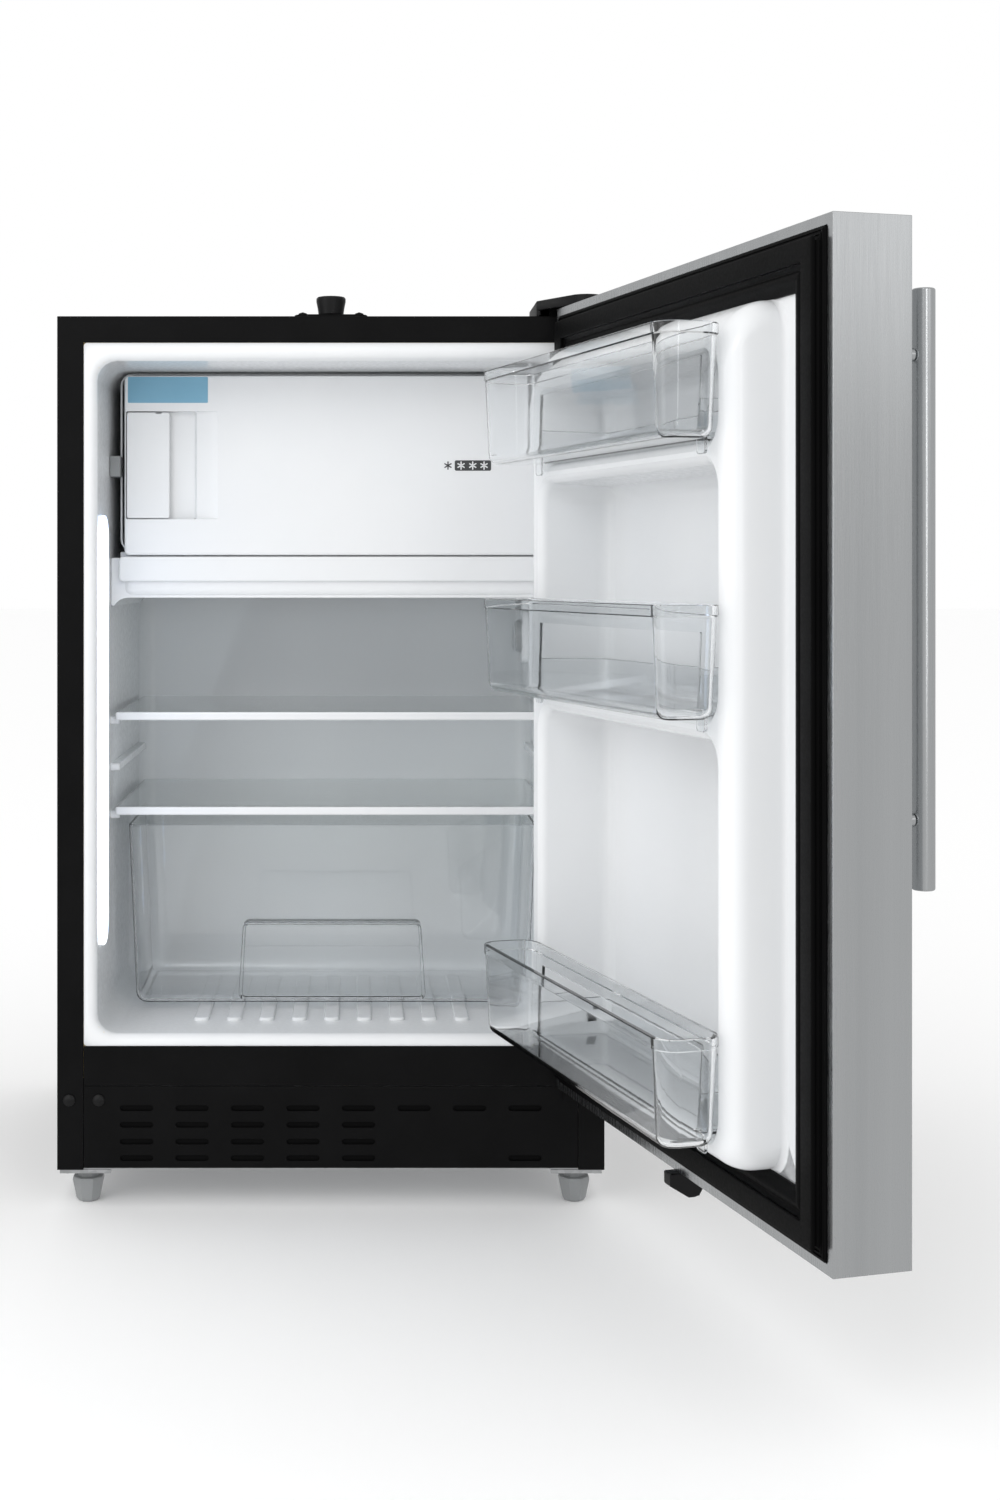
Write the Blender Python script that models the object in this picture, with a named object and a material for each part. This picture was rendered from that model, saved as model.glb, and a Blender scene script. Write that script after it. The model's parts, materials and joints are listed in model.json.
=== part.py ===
"""A 20-inch undercounter refrigerator with a freezer box, standing with its door open.

Metres, +Z up, front towards -Y. Pieces are modelled in the cabinet's coordinates: X = 0 at mid
width, Y = 0 at the front face and Z = 0 at the floor. The fridge empty then moves everything so
that the origin is the bottom centre of the whole. Door pieces are modelled shut, and the
door_hinge empty on the hinge pin turns them open.
"""

from math import cos, pi, radians, sin

import bmesh
import bpy
from mathutils import Matrix, Vector

GAP = 0.0003

# Cabinet
HALF_WIDTH = 0.250
DEPTH = 0.440
CABINET_BOTTOM = 0.034
CABINET_TOP = 0.8139
SHEET = 0.0012
FLANGE = 0.024
RAIL_TOP = 0.147
RAIL_BOTTOM = 0.1108
FOAM_BOTTOM = 0.1175
MACHINE_FRONT = 0.300
MACHINE_TOP = 0.288

# Liner
CAVITY_HALF = 0.214
CAVITY_BOTTOM = 0.1575
CAVITY_TOP = 0.7736
CAVITY_BACK = 0.365
HUMP_FRONT = 0.270
HUMP_TOP = 0.315
CORNER = 0.018
WALL = 0.002

# Door, shut
HINGE_X = 0.2292
HINGE_Y = -0.0294
OPEN_ANGLE = radians(105.4)
DOOR_FRONT = -0.069
DOOR_BACK = -0.010
DOOR_BOTTOM = 0.113
DOOR_TOP = 0.8184
DOOR_LIP = 0.0078
GASKET_FRONT = -0.0015
GASKET_OUTER = 0.014
GASKET_INNER = 0.048
DIKE_CREST = 0.035
PAN_HALF = 0.166
POCKET_FLOOR = -0.030
PIN_RADIUS = 0.004
BUSH_RADIUS = 0.0067
HANDLE_X = -0.205
HANDLE_Y = -0.105
HANDLE_RADIUS = 0.008
HANDLE_LOW = 0.359
HANDLE_HIGH = 0.777
POST_HEIGHTS = {"lower": 0.408, "upper": 0.7306}
BINS = {"top": (0.672, 0.7515), "middle": (0.478, 0.5575), "bottom": (0.185, 0.2615)}
BIN_HALF = 0.1885
BIN_FRONT = 0.086
BIN_CORNER = 0.014

# Freezer
FREEZER_FRONT = 0.096
FREEZER_DOOR_THICK = 0.014
FREEZER_DOOR_HALF = 0.200
FREEZER_DOOR_LOW = 0.598
FREEZER_DOOR_HIGH = 0.7695
FREEZER_PIN_X = 0.196
FREEZER_PIN_Y = 0.103
FREEZER_PIN_RADIUS = 0.0025
FLAP_PIN = (-0.196, 0.0985)

# Shelves, drawer and light
SHELF_TOPS = {"upper": 0.4453, "lower": 0.354}
LEDGE_TOPS = (0.4405, 0.3953, 0.3493)
SHELF_FRONT = 0.098
SHELF_BACK = 0.355
GLASS = 0.004
DRAWER_FRONT = 0.104
DRAWER_BACK = 0.262
DRAWER_LOW = 0.163
DRAWER_HIGH = 0.336
PULL_FRONT = 0.092
LIGHT_LOW = 0.234
LIGHT_HIGH = 0.633

# Lock, feet and machine
LOCK_TOP = 0.833
LOCK_Y = 0.016
FOOT_X = 0.2245
FOOT_YS = {"front": 0.025, "rear": 0.415}
FOOT_TOP = 0.0297
COMPRESSOR = (-0.11, 0.368)
FAN = (0.06, 0.120)

SLOT_PITCH = 0.0507
SLOT_LENGTH = 0.0305
SLOT_HEIGHT = 0.0052
SLOT_ROWS = (0.0904, 0.0752, 0.0599, 0.0448)


def turned_open(x, y):
    """Where a point of the shut door comes once the door is open."""
    across, out = x - HINGE_X, y - HINGE_Y
    c, s = cos(OPEN_ANGLE), sin(OPEN_ANGLE)
    return HINGE_X + c * across - s * out, HINGE_Y + s * across + c * out


RIGHT_END = turned_open(HANDLE_X, HANDLE_Y)[0] + HANDLE_RADIUS
FRONT_END = turned_open(-HALF_WIDTH, DOOR_BACK)[1]
CENTRE_X = (RIGHT_END - HALF_WIDTH) / 2
CENTRE_Y = (FRONT_END + DEPTH) / 2


def material(name, colour, roughness, metallic=0.0, alpha=1.0, glow=0.0):
    made = bpy.data.materials.new(name)
    made.use_nodes = True
    shader = made.node_tree.nodes["Principled BSDF"]
    shader.inputs["Base Color"].default_value = (*colour, 1)
    shader.inputs["Roughness"].default_value = roughness
    shader.inputs["Metallic"].default_value = metallic
    shader.inputs["Alpha"].default_value = alpha
    shader.inputs["Emission Color"].default_value = (*colour, 1)
    shader.inputs["Emission Strength"].default_value = glow
    made.diffuse_color = (*colour, alpha)
    return made


def empty(name, location, parent=None):
    made = bpy.data.objects.new(name, None)
    made.location = location
    made.parent = parent
    bpy.context.scene.collection.objects.link(made)
    return made


# Shapes, each added to a bmesh

PLANES = {
    "X": lambda u, v, w: (w, u, v),
    "Y": lambda u, v, w: (u, w, v),
    "Z": lambda u, v, w: (u, v, w),
}


def add_block(mesh, low, high):
    size = Vector(high) - Vector(low)
    centre = (Vector(high) + Vector(low)) / 2
    bmesh.ops.create_cube(mesh, size=1, matrix=Matrix.LocRotScale(centre, None, size))


def add_prism(mesh, outline, axis, low, high):
    """Extrudes an outline of points along an axis: (y, z) along X, (x, z) along Y, (x, y) along Z."""
    place = PLANES[axis]
    floor = mesh.faces.new([mesh.verts.new(place(u, v, low)) for u, v in outline])
    grown = bmesh.ops.extrude_face_region(mesh, geom=[floor], use_keep_orig=True)
    shift = Vector(place(0, 0, high - low))
    moved = [item for item in grown["geom"] if isinstance(item, bmesh.types.BMVert)]
    bmesh.ops.translate(mesh, verts=moved, vec=shift)


def add_frame(mesh, outer, inner, low, high):
    """A rectangular ring along Y. outer and inner are (half width, bottom, top)."""
    rings = []
    for half, bottom, top in (outer, inner):
        corners = [(-half, bottom), (half, bottom), (half, top), (-half, top)]
        rings.append([[mesh.verts.new((x, y, z)) for x, z in corners] for y in (low, high)])
    (outer_low, outer_high), (inner_low, inner_high) = rings
    loops = [(outer_low, outer_high), (outer_high, inner_high)]
    loops += [(inner_high, inner_low), (inner_low, outer_low)]
    for first, second in loops:
        for i in range(4):
            j = (i + 1) % 4
            mesh.faces.new([first[i], first[j], second[j], second[i]])


def add_turned(mesh, profile, centre, axis="Z", steps=16, turn=0.0):
    """Turns a profile of (radius, height) round an axis. It starts and ends on the axis."""
    place = PLANES[axis]
    rings = []
    for radius, height in profile:
        ring = []
        for i in range(steps if radius else 1):
            angle = turn + 2 * pi * i / steps
            spot = Vector(place(radius * cos(angle), radius * sin(angle), height))
            ring.append(mesh.verts.new(Vector(centre) + spot))
        rings.append(ring)
    for first, second in zip(rings, rings[1:]):
        for i in range(steps):
            j = (i + 1) % steps
            corners = [first[i % len(first)], first[j % len(first)]]
            corners += [second[j % len(second)], second[i % len(second)]]
            mesh.faces.new(dict.fromkeys(corners))


def add_rod(mesh, start, end, radius, axis="Z", steps=16):
    along = "XYZ".index(axis)
    low, high = start[along], end[along]
    base = Vector(start)
    base[along] = 0
    profile = [(0, low), (radius, low), (radius, high), (0, high)]
    add_turned(mesh, profile, base, axis, steps, pi / steps)


def rounded(left, bottom, right, top, radius, steps=4):
    """A rectangle outline with round corners."""
    points = []
    corners = [(right, top, 0), (left, top, 1), (left, bottom, 2), (right, bottom, 3)]
    for x, y, quarter in corners:
        centre_x = x - radius if x == right else x + radius
        centre_y = y - radius if y == top else y + radius
        for i in range(steps + 1):
            angle = pi / 2 * (quarter + i / steps)
            points.append((centre_x + radius * cos(angle), centre_y + radius * sin(angle)))
    return points


def round_fronted(half, low, high, radius, steps=3):
    """A rectangle outline whose two corners at the high side are round."""
    points = [(-half, low), (half, low)]
    for side, start in ((1, 0), (-1, pi / 2)):
        for i in range(steps + 1):
            angle = start + pi / 2 * i / steps
            points.append((side * (half - radius) + radius * cos(angle),
                           high - radius + radius * sin(angle)))
    return points


def finished(name, mesh, parent, look=None):
    bmesh.ops.recalc_face_normals(mesh, faces=mesh.faces[:])
    data = bpy.data.meshes.new(name)
    mesh.to_mesh(data)
    mesh.free()
    made = bpy.data.objects.new(name, data)
    made.parent = parent
    bpy.context.scene.collection.objects.link(made)
    if look:
        data.materials.append(look)
        data.shade_smooth()
        data.set_sharp_from_angle(angle=radians(35))
    return made


def shaped(name, parent, look, *shapes):
    """One object from shapes, each a function that adds itself to a mesh, and its arguments."""
    mesh = bmesh.new()
    for add, *arguments in shapes:
        add(mesh, *arguments)
    return finished(name, mesh, parent, look)


def combine(piece, operation, *shapes):
    """A Boolean of the piece and each shape, which stays in the scene as a hidden helper."""
    for number, shape in enumerate(shapes):
        name = f"{piece.name}_{operation.lower()}_{len(piece.modifiers)}"
        helper = shaped(name, piece, None, shape)
        helper.hide_render = True
        helper.display_type = "WIRE"
        step = piece.modifiers.new(f"{operation} {number}", "BOOLEAN")
        step.operation = operation
        step.solver = "EXACT"
        step.object = helper


def cut(piece, *shapes):
    combine(piece, "DIFFERENCE", *shapes)


def join(piece, *shapes):
    combine(piece, "UNION", *shapes)


def block(low, high):
    return (add_block, low, high)


def prism(outline, axis, low, high):
    return (add_prism, outline, axis, low, high)


def rod(start, end, radius, axis="Z", steps=16):
    return (add_rod, start, end, radius, axis, steps)


# Cabinet

def cabinet_shell(fridge, looks):
    inside = HALF_WIDTH - SHEET
    opening = HALF_WIDTH - FLANGE
    wrap = shaped("cabinet_wrap", fridge, looks["black_steel"],
                  block((-HALF_WIDTH, 0, CABINET_BOTTOM), (HALF_WIDTH, DEPTH, CABINET_TOP)))
    cut(wrap, block((-inside, SHEET, 0), (inside, 1, CABINET_TOP - SHEET)),
        block((-opening, -1, 0), (opening, 0.01, CABINET_TOP - FLANGE)))

    panel_half = inside - GAP
    back = (DEPTH - SHEET, DEPTH)
    shaped("rear_panel", fridge, looks["black_steel"],
           block((-panel_half, back[0], MACHINE_TOP + 0.0025),
                 (panel_half, back[1], CABINET_TOP - SHEET - GAP)))
    shaped("base_pan", fridge, looks["galvanised"],
           block((-panel_half, 0.002, CABINET_BOTTOM + GAP),
                 (panel_half, back[0] - GAP, CABINET_BOTTOM + GAP + SHEET)))
    machine_cover(fridge, looks, panel_half, back)
    front_trim(fridge, looks, opening - GAP)


def machine_cover(fridge, looks, half, back):
    low, high = CABINET_BOTTOM + 0.002, MACHINE_TOP + 0.0015
    cover = shaped("machine_cover", fridge, looks["galvanised"],
                   block((-half, back[0], low), (half, back[1], high)))
    slots = []
    for column in range(-3, 4):
        for row in range(4):
            x, z = 0.062 * column, 0.10 + 0.04 * row
            slots.append(block((x - 0.022, 0.4, z - 0.004), (x + 0.022, 0.5, z + 0.004)))
    cut(cover, (add_shapes, slots))
    cut(cover, rod((0.2, 0.4, 0.06), (0.2, 0.5, 0.06), 0.006, "Y", 12))


def add_shapes(mesh, shapes):
    for add, *arguments in shapes:
        add(mesh, *arguments)


def grille_slots():
    """Eight columns of four slots, but the three at the right are mostly blank."""
    blank = {5: SLOT_ROWS[1:], 6: SLOT_ROWS[1:], 7: SLOT_ROWS[1:3]}
    slots = []
    for column in range(8):
        x = SLOT_PITCH * (column - 3.5)
        for z in SLOT_ROWS:
            if z in blank.get(column, ()):
                continue
            outline = rounded(x - SLOT_LENGTH / 2, z - SLOT_HEIGHT / 2,
                              x + SLOT_LENGTH / 2, z + SLOT_HEIGHT / 2, SLOT_HEIGHT / 2, 2)
            slots.append(prism(outline, "Y", -0.01, 0.01))
    return slots


def front_trim(fridge, looks, half):
    face = GAP, GAP + SHEET
    rail = shaped("lower_front_rail", fridge, looks["black_steel"],
                  block((-half, face[0], RAIL_BOTTOM), (half, face[1], RAIL_TOP)))
    join(rail, block((-half, face[0], RAIL_BOTTOM), (half, 0.02, RAIL_BOTTOM + SHEET)))
    grille = shaped("toe_grille", fridge, looks["black_steel"],
                    block((-half, face[0], CABINET_BOTTOM + 0.0018),
                          (half, face[1], RAIL_BOTTOM - GAP)))
    cut(grille, (add_shapes, grille_slots()))
    dome = [(0, -0.0028), (0.003, -0.0024), (0.0055, -0.0008), (0.0055, 0), (0, 0)]
    for name, x, y in (("flange", -0.239, -GAP), ("grille", -0.212, 0)):
        shaped(f"hole_plug_{name}", fridge, looks["black_steel"],
               (add_turned, dome, (x, y, 0.0977), "Y", 12))


def liner(fridge, looks):
    half, low, high = CAVITY_HALF, CAVITY_BOTTOM, CAVITY_TOP

    def room(grown, start, bottom, end):
        outline = rounded(-half - grown, bottom - grown, half + grown, high + grown,
                          CORNER + grown)
        return prism(outline, "Y", start, end)

    def front_room(grown, start):
        return room(grown, start, low, HUMP_FRONT + grown)

    def rear_room(grown):
        return room(grown, HUMP_FRONT - 0.02, HUMP_TOP, CAVITY_BACK + grown)

    flange = HALF_WIDTH - FLANGE - GAP
    made = shaped("inner_liner", fridge, looks["white_plastic"],
                  block((-flange, 0.0002, RAIL_TOP + GAP),
                        (flange, 0.0022, CABINET_TOP - FLANGE - GAP)))
    join(made, front_room(WALL, 0.001), rear_room(WALL))
    cut(made, front_room(0, -0.01), rear_room(0))
    for side in (-1, 1):
        ledges = [shelf_ledge(side, top) for top in LEDGE_TOPS]
        join(made, (add_shapes, ledges))

    foam_half = HALF_WIDTH - SHEET - GAP
    foam = shaped("foam_insulation", fridge, looks["foam"],
                  block((-foam_half, 0.003, FOAM_BOTTOM),
                        (foam_half, DEPTH - SHEET - GAP, CABINET_TOP - SHEET - GAP)))
    cut(foam, front_room(WALL + GAP, -0.01), rear_room(WALL + GAP),
        block((-1, MACHINE_FRONT, 0), (1, 1, MACHINE_TOP)))


def shelf_ledge(side, top):
    ends = sorted((side * (CAVITY_HALF + 0.001), side * 0.2055))
    return block((ends[0], 0.106, top - 0.0075), (ends[1], 0.345, top))


def light(fridge, looks):
    wall = -CAVITY_HALF + GAP
    lens = shaped("led_lens", fridge, looks["lens"],
                  prism(rounded(0.010, LIGHT_LOW, 0.055, LIGHT_HIGH, 0.02), "X", wall, -0.2095))
    cut(lens, block((-1, 0.016, LIGHT_LOW + 0.014), (-0.211, 0.049, LIGHT_HIGH - 0.014)))
    shaped("led_board", fridge, looks["board"],
           block((wall, 0.0165, LIGHT_LOW + 0.015), (wall + 0.0012, 0.0485, LIGHT_HIGH - 0.015)))


def thermostat(fridge, looks):
    y, z = 0.2025, 0.520
    shaped("thermostat_housing", fridge, looks["white_plastic"],
           prism(rounded(y - 0.034, z - 0.026, y + 0.034, z + 0.026, 0.008, 2), "X",
                 0.196, CAVITY_HALF - GAP))
    knob = [(0, -0.011), (0.015, -0.011), (0.017, 0), (0, 0)]
    made = shaped("thermostat_knob", fridge, looks["grey_plastic"],
                  (add_turned, knob, (0, 0, 0), "X", 16))
    made.location = (0.196 - GAP, y, z)


# Freezer

def freezer(fridge, looks):
    half, back = 0.2055, CAVITY_BACK - 0.01
    low, high = 0.600, CAVITY_TOP - GAP - 0.0003
    front = FREEZER_FRONT + FREEZER_DOOR_THICK + 0.002
    box = shaped("freezer_box", fridge, looks["white_metal"],
                 prism(rounded(-half, low, half, high, 0.012), "Y", front, back))
    cut(box, prism(rounded(WALL - half, low + WALL, half - WALL, high - WALL, 0.010), "Y",
                   -1, back - WALL))

    tray_top = low - 0.005
    tray = shaped("drip_tray", fridge, looks["white_plastic"],
                  block((-half, 0.101, 0.556), (half, back - 0.01, tray_top)))
    join(tray, block((-half, FREEZER_FRONT + 0.0005, 0.571), (half, 0.103, tray_top)))
    cut(tray, block((WALL - half, 0.105, 0.558), (half - WALL, back - 0.012, 1)))

    shaped("freezer_latch_catch", fridge, looks["grey_plastic"],
           block((-CAVITY_HALF + GAP, 0.094, 0.672), (-0.2035, 0.1115, 0.692)))
    spot = FREEZER_PIN_X, FREEZER_PIN_Y
    shaped("freezer_hinge_pin_upper", fridge, looks["chrome"],
           rod((*spot, 0.7605), (*spot, CAVITY_TOP - 0.001), FREEZER_PIN_RADIUS, "Z", 12))
    shaped("freezer_hinge_pin_lower", fridge, looks["chrome"],
           rod((*spot, tray_top + GAP), (*spot, 0.606), FREEZER_PIN_RADIUS, "Z", 12))
    freezer_door(fridge, looks)


def freezer_door(fridge, looks):
    hinge = empty("freezer_hinge", (FREEZER_PIN_X, FREEZER_PIN_Y, 0), fridge)
    left, right = -FREEZER_DOOR_HALF - FREEZER_PIN_X, FREEZER_DOOR_HALF - FREEZER_PIN_X
    front = FREEZER_FRONT - FREEZER_PIN_Y
    door = shaped("freezer_door", hinge, looks["white_plastic"],
                  prism(rounded(left, FREEZER_DOOR_LOW, right, FREEZER_DOOR_HIGH, 0.004, 2),
                        "Y", front, front + FREEZER_DOOR_THICK))
    recess = -0.110 - FREEZER_PIN_X
    cut(door, block((left + 0.0015, -1, 0.631), (recess, front + 0.010, 0.735)))
    bore = FREEZER_PIN_RADIUS + 0.0004
    cut(door, rod((0, 0, 0.759), (0, 0, 0.78), bore, "Z", 12),
        rod((0, 0, 0.58), (0, 0, 0.6075), bore, "Z", 12))

    pin_x, pin_y = FLAP_PIN
    pivot = empty("flap_pivot", (pin_x - FREEZER_PIN_X, pin_y - FREEZER_PIN_Y, 0), hinge)
    shaped("freezer_handle_flap", pivot, looks["white_plastic"],
           block((-0.0018, FREEZER_FRONT - pin_y + 0.0002, 0.632),
                 (-0.1565 - pin_x, FREEZER_FRONT - pin_y + 0.0042, 0.734)))


# Shelves and drawer

def shelves(fridge, looks):
    half = 0.2088
    for name, top in SHELF_TOPS.items():
        shelf = empty(f"{name}_shelf", (0, SHELF_FRONT, top), fridge)
        shaped(f"{name}_shelf_trim", shelf, looks["white_plastic"],
               block((-half, 0, -0.008), (half, 0.0057, 0)))
        shaped(f"{name}_shelf_glass", shelf, looks["glass"],
               block((-half, 0.006, -GLASS), (half, SHELF_BACK - SHELF_FRONT, 0)))


def drawer(fridge, looks):
    wide, narrow = 0.198, 0.190
    depth, height = DRAWER_BACK - DRAWER_FRONT, DRAWER_HIGH - DRAWER_LOW
    runner = empty("crisper_runner", (0, DRAWER_FRONT, DRAWER_LOW), fridge)
    wall = 0.0025
    outside = [(-narrow, 0), (narrow, 0), (wide, height), (-wide, height)]
    inside = [(wall - narrow, wall), (narrow - wall, wall), (wide - wall, 1.1 * height),
              (wall - wide, 1.1 * height)]
    made = shaped("crisper_drawer", runner, looks["clear_plastic"],
                  prism(outside, "Y", 0, depth))
    pull = PULL_FRONT - DRAWER_FRONT
    join(made, block((-0.086, pull, 0.005), (0.086, 0.001, 0.081)))
    cut(made, prism(inside, "Y", wall, depth - wall),
        block((-0.084, pull + 0.002, -1), (0.084, 0, 0.079)),
        block((-0.084, -1, -1), (0.084, 0, 0.058)))


# Lock, hinges and feet

def lock(fridge, looks):
    deck = CABINET_TOP + GAP
    plate_top = deck + 0.0023
    plate = shaped("lock_plate", fridge, looks["black_steel"],
                   prism(rounded(-0.0335, LOCK_Y - 0.010, 0.0335, LOCK_Y + 0.010, 0.0095, 3),
                         "Z", deck, plate_top))
    cut(plate, rod((0, LOCK_Y, 0), (0, LOCK_Y, 1), 0.006))
    high = LOCK_TOP - plate_top - GAP
    knob = [(0, 0), (0.0115, 0), (0.0122, 0.35 * high), (0.0135, 0.75 * high),
            (0.0135, 0.93 * high), (0.0125, high), (0, high)]
    barrel = shaped("lock_barrel", fridge, looks["black_plastic"],
                    (add_turned, knob, (0, 0, 0), "Z", 20))
    barrel.location = (0, LOCK_Y, plate_top + GAP)
    dome = [(0, 0), (0.0042, 0), (0.0038, 0.0015), (0, 0.0028)]
    for name, side in (("left", -1), ("right", 1)):
        shaped(f"lock_screw_{name}", fridge, looks["black_steel"],
               (add_turned, dome, (0.026 * side, LOCK_Y, plate_top + GAP), "Z", 12))


def nose_outline(radius, left, back, cut_y):
    """The plan of the hinge cover: a block whose front ends in a nose round the pin."""
    points = [(HINGE_X + radius - 0.005, back), (left, back), (left, cut_y)]
    for i in range(7):
        angle = radians(225 + 135 * i / 6)
        points.append((HINGE_X + radius * cos(angle), HINGE_Y + radius * sin(angle)))
    return points[::-1]


def hinges(fridge, looks):
    deck, above_door = CABINET_TOP + GAP, DOOR_TOP + 0.0006
    plate = 0.003
    bracket = shaped("top_hinge_bracket", fridge, looks["black_steel"],
                     block((0.200, 0.004, deck), (HINGE_X + 0.006, 0.070, above_door + plate)))
    join(bracket, prism(nose_outline(0.012, 0.212, 0.02, 0.005), "Z",
                        above_door, above_door + plate))
    cut(bracket, block((0, 0.012, deck + plate), (1, 1, 1)))
    cut(bracket, rod((HINGE_X, HINGE_Y, 0.8), (HINGE_X, HINGE_Y, 0.9), PIN_RADIUS + GAP))
    shaped("top_hinge_pin", fridge, looks["chrome"],
           rod((HINGE_X, HINGE_Y, 0.797), (HINGE_X, HINGE_Y, above_door + plate), PIN_RADIUS))

    top = 0.828
    cover = shaped("top_hinge_cover", fridge, looks["black_plastic"],
                   prism(nose_outline(0.0165, 0.188, 0.076, 0.002), "Z", deck, top))
    cut(cover, block((0, -1, 0), (1, 0.0005, above_door)),
        prism(nose_outline(0.0145, 0.1905, 0.0735, 0.0028), "Z", 0, top - 0.002))

    under = DOOR_BOTTOM - 0.0022
    lower = shaped("lower_hinge_bracket", fridge, looks["black_steel"],
                   block((0.212, -0.0033, 0.098), (0.2485, -GAP, under)))
    join(lower, prism(nose_outline(0.012, 0.212, -GAP, -0.008), "Z", under - plate, under),
         rod((HINGE_X, HINGE_Y, under - 0.001), (HINGE_X, HINGE_Y, 0.130), PIN_RADIUS))


def feet(fridge, looks):
    foot = [(0, 0), (0.0095, 0), (0.0115, 0.003), (0.015, 0.0195), (0.0145, 0.0225),
            (0.010, 0.0228), (0.010, FOOT_TOP), (0, FOOT_TOP)]
    for row, y in FOOT_YS.items():
        for side, x in (("left", -FOOT_X), ("right", FOOT_X)):
            plate = shaped(f"foot_plate_{row}_{side}", fridge, looks["galvanised"],
                           block((x - 0.0235, y - 0.022, 0.030),
                                 (x + 0.0235, y + 0.022, CABINET_BOTTOM - GAP)))
            made = shaped(f"foot_{row}_{side}", fridge, looks["grey_plastic"],
                          (add_turned, foot, (0, 0, 0), "Z", 8, pi / 8))
            made.location = (x, y, 0)
            plate.data.shade_flat()


# Machine compartment

def machine(fridge, looks):
    x, y = COMPRESSOR
    can = [(0, 0.045), (0.045, 0.047), (0.058, 0.065), (0.060, 0.13), (0.055, 0.17),
           (0.035, 0.195), (0, 0.20)]
    shaped("compressor", fridge, looks["black_steel"], (add_turned, can, (x, y, 0), "Z", 20))
    pan = shaped("evaporation_pan", fridge, looks["black_plastic"],
                 block((x - 0.065, y - 0.055, 0.205), (x + 0.065, y + 0.055, 0.230)))
    cut(pan, block((x - 0.063, y - 0.053, 0.207), (x + 0.063, y + 0.053, 0.3)))

    fan_x, fan_z = FAN
    shaped("fan_motor", fridge, looks["black_plastic"],
           rod((fan_x, 0.345, fan_z), (fan_x, 0.385, fan_z), 0.022, "Y"))
    blade = shaped("fan_blade", fridge, looks["grey_plastic"],
                   rod((0, -0.008, 0), (0, 0.008, 0), 0.013, "Y"))
    blade.location = (fan_x, 0.334, fan_z)
    for angle in (0, pi / 3, 2 * pi / 3):
        c, s = 0.05 * cos(angle), 0.05 * sin(angle)
        across, up = 0.009 * -sin(angle), 0.009 * cos(angle)
        outline = [(c + across, s + up), (-c + across, -s + up), (-c - across, -s - up),
                   (c - across, s - up)]
        join(blade, prism(outline, "Y", -0.004 + 0.0008 * angle, 0.002 + 0.0008 * angle))
    condenser(fridge, looks)


def condenser(fridge, looks):
    """A serpentine tube that lies flat in the air duct under the foam."""
    passes, pitch, reach, radius, height = 7, 0.034, 0.19, 0.0025, 0.075
    points = []
    for lane in range(passes):
        y = 0.05 + pitch * lane
        side = 1 if lane % 2 == 0 else -1
        points.append((-side * reach, y, height))
        points.append((side * reach, y, height))
        if lane == passes - 1:
            break
        for i in range(1, 6):
            angle = pi * i / 6
            points.append((side * (reach + pitch / 2 * sin(angle)),
                           y + pitch / 2 * (1 - cos(angle)), height))
    curve = bpy.data.curves.new("condenser_coil", "CURVE")
    curve.dimensions = "3D"
    curve.bevel_depth = radius
    curve.bevel_resolution = 2
    curve.use_fill_caps = True
    line = curve.splines.new("POLY")
    line.points.add(len(points) - 1)
    for point, spot in zip(line.points, points):
        point.co = (*spot, 1)
    curve.materials.append(looks["black_steel"])
    made = bpy.data.objects.new("condenser_coil", curve)
    made.parent = fridge
    bpy.context.scene.collection.objects.link(made)


# Main door, modelled shut

def door_ring(inset):
    """Half width, bottom and top of a rectangle that lies this far inside the door's edges."""
    return HALF_WIDTH - inset, DOOR_BOTTOM + inset, DOOR_TOP - inset


def door(leaf, looks):
    half, skin = HALF_WIDTH, 0.001
    lip = DOOR_LIP
    wrap = shaped("door_skin", leaf, looks["stainless"],
                  block((-half, DOOR_FRONT, DOOR_BOTTOM), (half, DOOR_BACK, DOOR_TOP)))
    cut(wrap, block((skin - half, DOOR_FRONT + skin, DOOR_BOTTOM + skin),
                    (half - skin, DOOR_BACK - skin, DOOR_TOP - skin)),
        block((lip - half, -0.03, DOOR_BOTTOM + lip), (half - lip, 1, DOOR_TOP - lip)),
        rod((HINGE_X, HINGE_Y, 0), (HINGE_X, HINGE_Y, 1), BUSH_RADIUS + GAP))
    door_inside(leaf, looks, skin)
    door_gasket = shaped("door_gasket", leaf, looks["black_rubber"],
                         (add_frame, door_ring(GASKET_OUTER), door_ring(GASKET_INNER),
                          DOOR_BACK + GAP, GASKET_FRONT))
    door_gasket.data.shade_flat()

    spans = {"upper": (0.795, DOOR_TOP - 0.0001), "lower": (DOOR_BOTTOM + 0.0001, 0.135)}
    for name, (low, high) in spans.items():
        bush = shaped(f"hinge_bush_{name}", leaf, looks["grey_plastic"],
                      rod((HINGE_X, HINGE_Y, low), (HINGE_X, HINGE_Y, high), BUSH_RADIUS))
        cut(bush, rod((HINGE_X, HINGE_Y, 0), (HINGE_X, HINGE_Y, 1), PIN_RADIUS + 0.0004))

    low, high = DOOR_BOTTOM - 0.020, DOOR_BOTTOM - GAP
    hook = [(-0.030, high), (-0.030, low + 0.006), (-0.027, low + 0.001), (-0.023, low),
            (-0.018, low), (-0.002, low + 0.010), (-0.002, high)]
    shaped("door_lock_block", leaf, looks["black_plastic"], prism(hook, "X", -0.012, 0.0005))
    handle(leaf, looks)


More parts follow.
